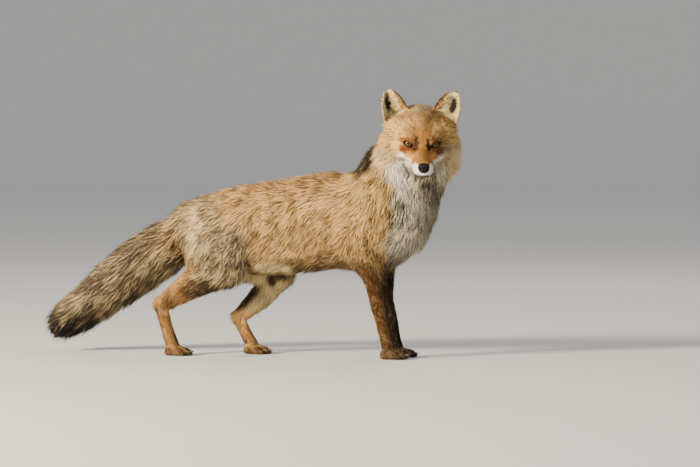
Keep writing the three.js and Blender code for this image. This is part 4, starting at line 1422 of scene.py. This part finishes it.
def tuft_mesh(name, chosen, spots, jointed):
    """One mesh of the chosen tufts. A cross section is a low triangle: left, right and crest."""
    s, m, t = start[chosen], middle[chosen], tip[chosen]
    w = wide[chosen][:, None] / 2
    side_way, up_way = across_way[chosen], n[chosen]
    ring = [-side_way * w, side_way * w, up_way * w * 0.7]
    if jointed:
        layers = [s + 0.6 * r for r in ring] + [m + 0.72 * r for r in ring] + [t]
        shades = [root_colour[chosen]] * 3 + [mid_colour[chosen]] * 3 + [tip_colour[chosen]]
        corners_uv = [(-0.5, 0), (0.5, 0), (0, 0), (-0.5, 0.5), (0.5, 0.5), (0, 0.5), (0, 1)]
        faces = JOINTED
    else:
        layers = [s + r for r in ring] + [t]
        shades = [0.6 * root_colour[chosen] + 0.4 * mid_colour[chosen]] * 3 + [tip_colour[chosen]]
        corners_uv = [(-0.5, 0), (0.5, 0), (0, 0), (0, 1)]
        faces = STRAIGHT
    size = len(layers)
    points = np.stack(layers, 1).reshape(-1, 3)
    all_faces = (faces[None] + size * np.arange(len(s))[:, None, None]).reshape(-1, 3)
    made = new_mesh(name, points, all_faces)
    colour_attribute(made.data, "coat", np.stack(shades, 1).reshape(-1, 3))
    normals = made.data.attributes.new("body_normal", "FLOAT_VECTOR", "POINT")
    normals.data.foreach_set("vector", np.repeat(up_way, size, 0).astype(np.float32).ravel())
    uv = (spots[:, None] + PATCH * np.array(corners_uv)).reshape(-1, 2)
    layer = made.data.uv_layers.new(name="OFBake")
    layer.data.foreach_set("uv", uv[all_faces.ravel()].astype(np.float32).ravel())
    made.data.materials.append(FUR)
    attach(made, "root")
    return made


print("a tuft:", len(JOINTED), "triangles with a joint,", len(STRAIGHT), "without")

# %% Pieces of the coat
is_tail = (in_zones("tail") > 0.5) & (p[:, 0] < -150)
is_head = (in_zones("skull", "muzzle", "jaw", "cheek", "pad", "ear") > 0.5) & ~is_tail
is_leg = (in_zones("foreleg", "shank", "foot", "toe") > 0.5) & ~is_tail & ~is_head
is_neck = (in_zones("neck", "bib") > 0.45) & ~(is_tail | is_head | is_leg)
rest = ~(is_tail | is_head | is_leg | is_neck)
right = p[:, 1] < 0
rear = p[:, 0] < 10
short = root["long"] < 15
BACK, RIGHT = np.array([-1.0, 0, 0]), -LEFT
DOWN, UP = np.array([0, 0, -1.0]), np.array([0, 0, 1.0])
SPINE_CENTRE, SKULL_CENTRE = np.array([0, 0, 255.0]), in_body([-40, 0, 0])
NECK_CENTRE, NECK_AXIS = np.array([262, 0, 340.0]), np.array([0.4, 0, 0.9])
TAIL_CENTRE, TAIL_AXIS = np.array([-307, 8, 167.0]), np.array([-302, 23, -202.0])
RIGHT_LEGS, LEFT_LEGS = np.array([0, -46, 0.0]), np.array([60, 44, 0.0])
HEAD_AXIS = HEAD @ np.array([1.0, 0, 0])
# each piece: which tufts, then the centre, axis and seam that it's unrolled round, and its slot
PIECES = {
    "coat_right_rear": (rest & right & rear, SPINE_CENTRE, BACK, LEFT, "fur_grey"),
    "coat_right_front": (rest & right & ~rear, SPINE_CENTRE, BACK, LEFT, "fur_tan"),
    "coat_left_rear": (rest & ~right & rear, SPINE_CENTRE, BACK, RIGHT, "fur_grey"),
    "coat_left_front": (rest & ~right & ~rear, SPINE_CENTRE, BACK, RIGHT, "fur_tan"),
    "coat_neck": (is_neck, NECK_CENTRE, NECK_AXIS, BACK, "fur_pale"),
    "coat_tail": (is_tail, TAIL_CENTRE, TAIL_AXIS, DOWN, "fur_grey"),
    "coat_head": (is_head & ~short, SKULL_CENTRE, HEAD_AXIS, DOWN, "fur_tan"),
    "coat_face": (is_head & short, SKULL_CENTRE, HEAD_AXIS, DOWN, "fur_tan"),
    "coat_right_legs": (is_leg & right, RIGHT_LEGS, UP, BACK, "fur_dark"),
    "coat_left_legs": (is_leg & ~right, LEFT_LEGS, UP, BACK, "fur_dark"),
}
coat_triangles = 0
for name, (chosen, centre, axis, seam, slot) in PIECES.items():
    jointed = name not in ("coat_face", "coat_right_legs", "coat_left_legs")
    chosen = np.nonzero(chosen)[0]
    piece = tuft_mesh(name, chosen, unrolled(p[chosen], centre, axis, seam), jointed)
    coat_triangles += len(piece.data.polygons)
    print(f"{name}: {len(chosen)} tufts, {len(piece.data.polygons)} triangles")
print("coat:", coat_triangles, "triangles")

# %% [markdown]
# ## A lighter skin
#
# The fine net was there to grow the coat from. Where the coat is deep the skin can be coarser. It
# could be meshed again, but a Decimate modifier keeps its colours: it collapses short edges, and a
# vertex group keeps it away from the face, ears and paws, whose short hair lets the skin show.

# %% Lighter skin
SKIN_TRIANGLES, DEEP = 188_000, 3.0
skin.vertex_groups.new(name="under_deep_coat").add(np.nonzero(depth > DEEP)[0].tolist(), 1.0, "REPLACE")
thinning = skin.modifiers.new("thinning", "DECIMATE")
thinning.ratio = SKIN_TRIANGLES / len(corners)
thinning.vertex_group = "under_deep_coat"
bpy.context.view_layer.update()
lighter = bpy.data.meshes.new_from_object(skin.evaluated_get(bpy.context.evaluated_depsgraph_get()))
skin.modifiers.clear()
skin.vertex_groups.clear()
skin.data = lighter
lighter.calc_loop_triangles()
print("skin:", len(corners), "triangles before,", len(lighter.loop_triangles), "after")

# %% [markdown]
# ## Eyes
#
# A fox's eye is amber with an upright slit of a pupil. One round mesh carries it: a sphere whose
# front swells into a cornea. The colours come from how far a point is from the line of sight,
# stored as an attribute, and noise adds flecks to the iris. A clear coat gives the wet shine.

# %% Round grids
def ring_faces(rings, around):
    """The quads between rings of points, each ring joined to the next."""
    i, j = np.meshgrid(np.arange(rings - 1), np.arange(around), indexing="ij")
    k = (j + 1) % around
    corners = [i * around + j, (i + 1) * around + j, (i + 1) * around + k, i * around + k]
    return np.stack(corners, -1).reshape(-1, 4)


def sphere_grid(across, around):
    """Unit directions on a grid of angles, pole to pole along +x, with triangles between them."""
    a = np.linspace(0, np.pi, across + 2)[1:-1]
    b = np.linspace(0, 2 * np.pi, around, endpoint=False)
    aa, bb = np.meshgrid(a, b, indexing="ij")
    ring = np.stack([np.cos(aa), np.sin(aa) * np.cos(bb), np.sin(aa) * np.sin(bb)], -1).reshape(-1, 3)
    points = np.vstack([ring, [[1, 0, 0], [-1, 0, 0]]])
    quads = ring_faces(across, around)
    j = np.arange(around)
    k = (j + 1) % around
    front = np.stack([np.full(around, len(ring)), j, k], 1)
    base = (across - 1) * around
    back = np.stack([np.full(around, len(ring) + 1), base + k, base + j], 1)
    return points, np.vstack([quads[:, :3], quads[:, [0, 2, 3]], front, back])


directions, eye_faces = sphere_grid(30, 48)
print("an eye:", len(eye_faces), "triangles")


# %% Eyes
def eye_build(tree):
    """Black pupil, amber iris and dark rim, by the distance from the line of sight."""
    ring = attribute(tree, "ring")
    split = node(tree, "SeparateColor", None, {"Color": ring})
    away = split + 0.06 * (noise(tree, 1800.0, Detail=2.0) - 0.5)
    stops = [
        (0.0, (0.003, 0.002, 0.002)),
        (0.17, (0.004, 0.003, 0.002)),
        (0.23, (0.05, 0.028, 0.007)),
        (0.38, (0.19, 0.105, 0.024)),
        (0.50, (0.085, 0.046, 0.012)),
        (0.58, (0.02, 0.010, 0.005)),
        (0.70, (0.012, 0.008, 0.006)),
    ]
    return {"Base Color": node(tree, "ValToRGB", dict(stops=stops), {"Fac": away})}


WET = {"Roughness": 0.2, "Specular IOR Level": 0.1, "Coat Weight": 0.2, "Coat Roughness": 0.03}
EYE_GLASS = material("eye_glass", eye_build, **WET)
from_sight = np.degrees(np.arccos(np.clip(directions[:, 0], -1, 1)))
swell = 1 + 0.07 * (1 - step(from_sight, 22, 46))
pupil = np.hypot(directions[:, 1] * 1.7, directions[:, 2] * 0.85)
iris = np.hypot(directions[:, 1], directions[:, 2])
blend_in = step(iris, 0.12, 0.34)
from_middle = np.where(directions[:, 0] > 0, pupil * (1 - blend_in) + iris * blend_in, 1.0)
LOOK = turn_about(2, math.radians(9)) @ turn_about(1, math.radians(-15))
for name, mirror in (("eye_right", -1), ("eye_left", 1)):
    local = directions * (EYE_RADIUS - 0.3) * swell[:, None] @ LOOK.T + EYE
    faces = eye_faces if mirror > 0 else eye_faces[:, ::-1]
    eye = new_mesh(name + "_glass", in_body(local * [1, mirror, 1]), faces)
    colour_attribute(eye.data, "ring", np.repeat(from_middle[:, None], 3, 1))
    eye.data.materials.append(EYE_GLASS)
    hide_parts(name)
    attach(eye, "root")
print("eyes: two, of", EYE_RADIUS, "mm radius")

# %% [markdown]
# ## Nose
#
# The leather of the nose is a rounded wedge, wider at the top, with a groove down the middle and
# two nostrils that curl out to the sides. Dents pressed into a sphere of points make all of it:
# each dent is a bell curve round its own place.

# %% Nose
def nose_build(tree):
    """Black leather with a pebbled grain."""
    place = on_piece(tree)
    pebble = node(tree, "TexVoronoi", None, {"Vector": place, "Scale": 1500.0})
    tint = noise(tree, 300.0, place)
    colour = blend_colours(tree, tint, (0.006, 0.005, 0.005), (0.018, 0.014, 0.013))
    bump = node(tree, "Bump", None, {"Strength": 0.35, "Distance": 0.0004, "Height": pebble})
    return {"Base Color": colour, "Normal": bump, "Roughness": 0.40 + 0.2 * tint}


NOSE_LEATHER = material("nose_leather", nose_build, **{"IOR": 1.4, "Specular IOR Level": 0.15})
d, nose_faces = sphere_grid(44, 72)
NOSE_SIZE = np.array([9.4, 11.6, 10.2])  # half of its length, width and height
shape = np.sign(d) * np.abs(d) ** 0.86
shape[:, 1] *= 1 + 0.16 * d[:, 2]


def bell(y, z, wide, high):
    """A bell curve exp(-a^2 - b^2) round a place on the front of the nose."""
    a, b = (d[:, 1] - y) / wide, (d[:, 2] - z) / high
    return np.exp(-(a**2) - b**2) * step(d[:, 0], 0, 0.3)


dent = np.zeros(len(d))
for mirror in SIDES:
    dent += 0.34 * bell(mirror * 0.46, -0.02, 0.17, 0.20) + 0.22 * bell(mirror * 0.72, -0.16, 0.16, 0.10)
dent += 0.10 * bell(0, -0.4, 0.07, 0.5)
nose = new_mesh("nose_leather", in_body(NOSE + shape * (1 - dent)[:, None] * NOSE_SIZE), nose_faces)
nose.data.materials.append(NOSE_LEATHER)
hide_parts("nose")
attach(nose, "root")
print("nose:", len(nose_faces), "triangles")


# %% [markdown]
# ## Claws and whiskers
#
# Both are tapered tubes carried along a curve: a ring of points round each place on the curve,
# which shrinks towards the tip. A claw is short, thick and hooked, a whisker long and hair-thin.

# %% Tubes
def tubes(name, paths, radii, sides):
    """One mesh of tubes. paths is tubes x places x 3, radii is places. Both ends are capped."""
    paths = np.asarray(paths, float)
    count, places = paths.shape[:2]
    way = unit(np.gradient(paths, axis=1))
    across = unit(np.cross(way, [0.13, 0.21, 0.97]))
    over = np.cross(way, across)
    turn = np.linspace(0, 2 * np.pi, sides, endpoint=False)
    circle = across[:, :, None] * np.cos(turn)[:, None] + over[:, :, None] * np.sin(turn)[:, None]
    points = (paths[:, :, None] + circle * np.asarray(radii)[None, :, None, None]).reshape(-1, 3)
    quads = ring_faces(places, sides)
    j = np.arange(1, sides - 1)
    root_cap = np.stack([0 * j, j + 1, j], 1)
    tip_cap = (places - 1) * sides + np.stack([0 * j, j, j + 1], 1)
    faces = np.vstack([quads[:, [0, 3, 2]], quads[:, [0, 2, 1]], root_cap, tip_cap])
    first = places * sides * np.arange(count)[:, None, None]
    return new_mesh(name, points, (faces[None] + first).reshape(-1, 3))


# %% Claws
def claw_build(tree):
    """Dark horn, paler in streaks."""
    grain = noise(tree, 400.0, Detail=3.0)
    colour = blend_colours(tree, grain, (0.03, 0.022, 0.016), (0.16, 0.12, 0.08))
    return {"Base Color": colour, "Roughness": 0.35 + 0.2 * grain}


CLAW_HORN = material("claw_horn", claw_build)
bend = np.linspace(0, 1, 8)
claw_curve = np.stack([13.5 * bend, 0 * bend, 2.6 * np.sin(np.pi * 0.62 * bend) - 5.2 * bend**2], 1)
claw_paths = []
for paw_x, paw_y in PAWS.values():
    for out, forward in TOES:
        claw_paths.append(claw_curve + [paw_x + forward - 1, paw_y + out, 8.4])
claws = tubes("claws", claw_paths, 1.9 * (1 - bend**1.6) + 0.12, sides=8)
claws.data.materials.append(CLAW_HORN)
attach(claws, "root")
print("claws:", len(claw_paths))


# %% Whiskers
def whisker_build(tree):
    """Nearly black hair."""
    grain = noise(tree, 90.0)
    return {"Base Color": blend_colours(tree, grain, (0.02, 0.015, 0.012), (0.10, 0.07, 0.05))}


WHISKER = material("whisker", whisker_build, Roughness=0.4)
ROWS, COLUMNS = 3, 4
run = np.linspace(0, 1, 9)
whisker_paths = []
for mirror in SIDES:
    for row in range(ROWS):
        for column in range(COLUMNS):
            root_at = np.array([66 - 8 * column, 19 + 0.9 * column, -30 - 4.2 * row])
            way = unit(np.array([0.15 - 0.22 * column, 1.0, 0.22 - 0.32 * row]))
            length = 26 + 6 * column + 4 * dice.random()
            s = run[:, None]
            droop = np.array([-0.28, 0.0, -0.20 - 0.1 * row])
            path = root_at + way * length * s + droop * length * s**2 * 0.6
            whisker_paths.append(in_body(path * [1, mirror, 1]))
whiskers = tubes("whiskers", whisker_paths, 0.24 * (1 - run**1.5) + 0.05, sides=4)
whiskers.data.materials.append(WHISKER)
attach(whiskers, "root")
print("whiskers:", len(whisker_paths))

# %% [markdown]
# ## Studio
#
# The fox stands on a wide, pale, round floor that turns up far away, so that no edge shows from any
# side. A large warm light on its tail side does the work of a low sun, a weak cool one opens the
# shadows of the far side, and a little light from behind draws the edge of the coat.

# %% Studio
FLAT, EDGE, SPOKES = 13.0, 26.0, 96  # radii in metres: where the floor starts to rise, and its end


def bowl_points():
    """A round floor that turns up at its edge: rings of points, whose height grows as the square
    of how far they are past the flat part's radius."""
    radius = np.concatenate([[0.02], np.linspace(FLAT, EDGE, 40)])
    turn = np.linspace(0, 2 * np.pi, SPOKES, endpoint=False)
    rr, tt = np.meshgrid(radius, turn, indexing="ij")
    height = 0.055 * np.maximum(rr - FLAT, 0) ** 2
    return np.stack([rr * np.cos(tt), rr * np.sin(tt), height], -1)


bowl = bowl_points()
floor = new_mesh("floor", bowl.reshape(-1, 3) * 1000 - SHIFT, ring_faces(len(bowl), SPOKES))


def floor_build(tree):
    """Pale paper."""
    tooth = noise(tree, 14.0)
    return {"Base Color": blend_colours(tree, tooth, (0.60, 0.585, 0.56), (0.64, 0.625, 0.60))}


floor.data.materials.append(material("paper", floor_build, Roughness=0.9))
print("floor:", len(floor.data.polygons), "faces")


# %% Lights
HEART = np.array([0.05, 0.0, 0.28])


def area_light(name, place, size, power, colour):
    """A square light at a place, in metres, that faces the fox's heart."""
    data = bpy.data.lights.new(name, "AREA")
    data.size, data.energy, data.color = size, power, colour
    light = bpy.data.objects.new(name, data)
    towards = unit(HEART - np.array(place))
    side = unit(np.cross(towards, [0, 0, 1.0]))
    above = np.cross(side, towards)
    turn = np.stack([side, above, -towards], 1)
    light.matrix_world = Matrix([[*row, at] for row, at in zip(turn, place)] + [[0, 0, 0, 1]])
    bpy.context.scene.collection.objects.link(light)


area_light("sun_side", (-2.75, -4.15, 2.0), 1.1, 880, (1.0, 0.91, 0.735))
area_light("open_side", (3.4, -3.4, 1.4), 2.4, 26, (0.86, 0.92, 1.0))
area_light("edge", (0.2, 3.4, 3.2), 1.8, 45, (1.0, 0.92, 0.78))
world = bpy.data.worlds.new("world")
world.use_nodes = True
sky = world.node_tree.nodes["Background"].inputs
sky["Color"].default_value = (0.92, 0.95, 1.0, 1)
sky["Strength"].default_value = 0.62
bpy.context.scene.world = world
print("lights:", len(bpy.data.lights))

# %% The end
print("the fox and its studio are built")
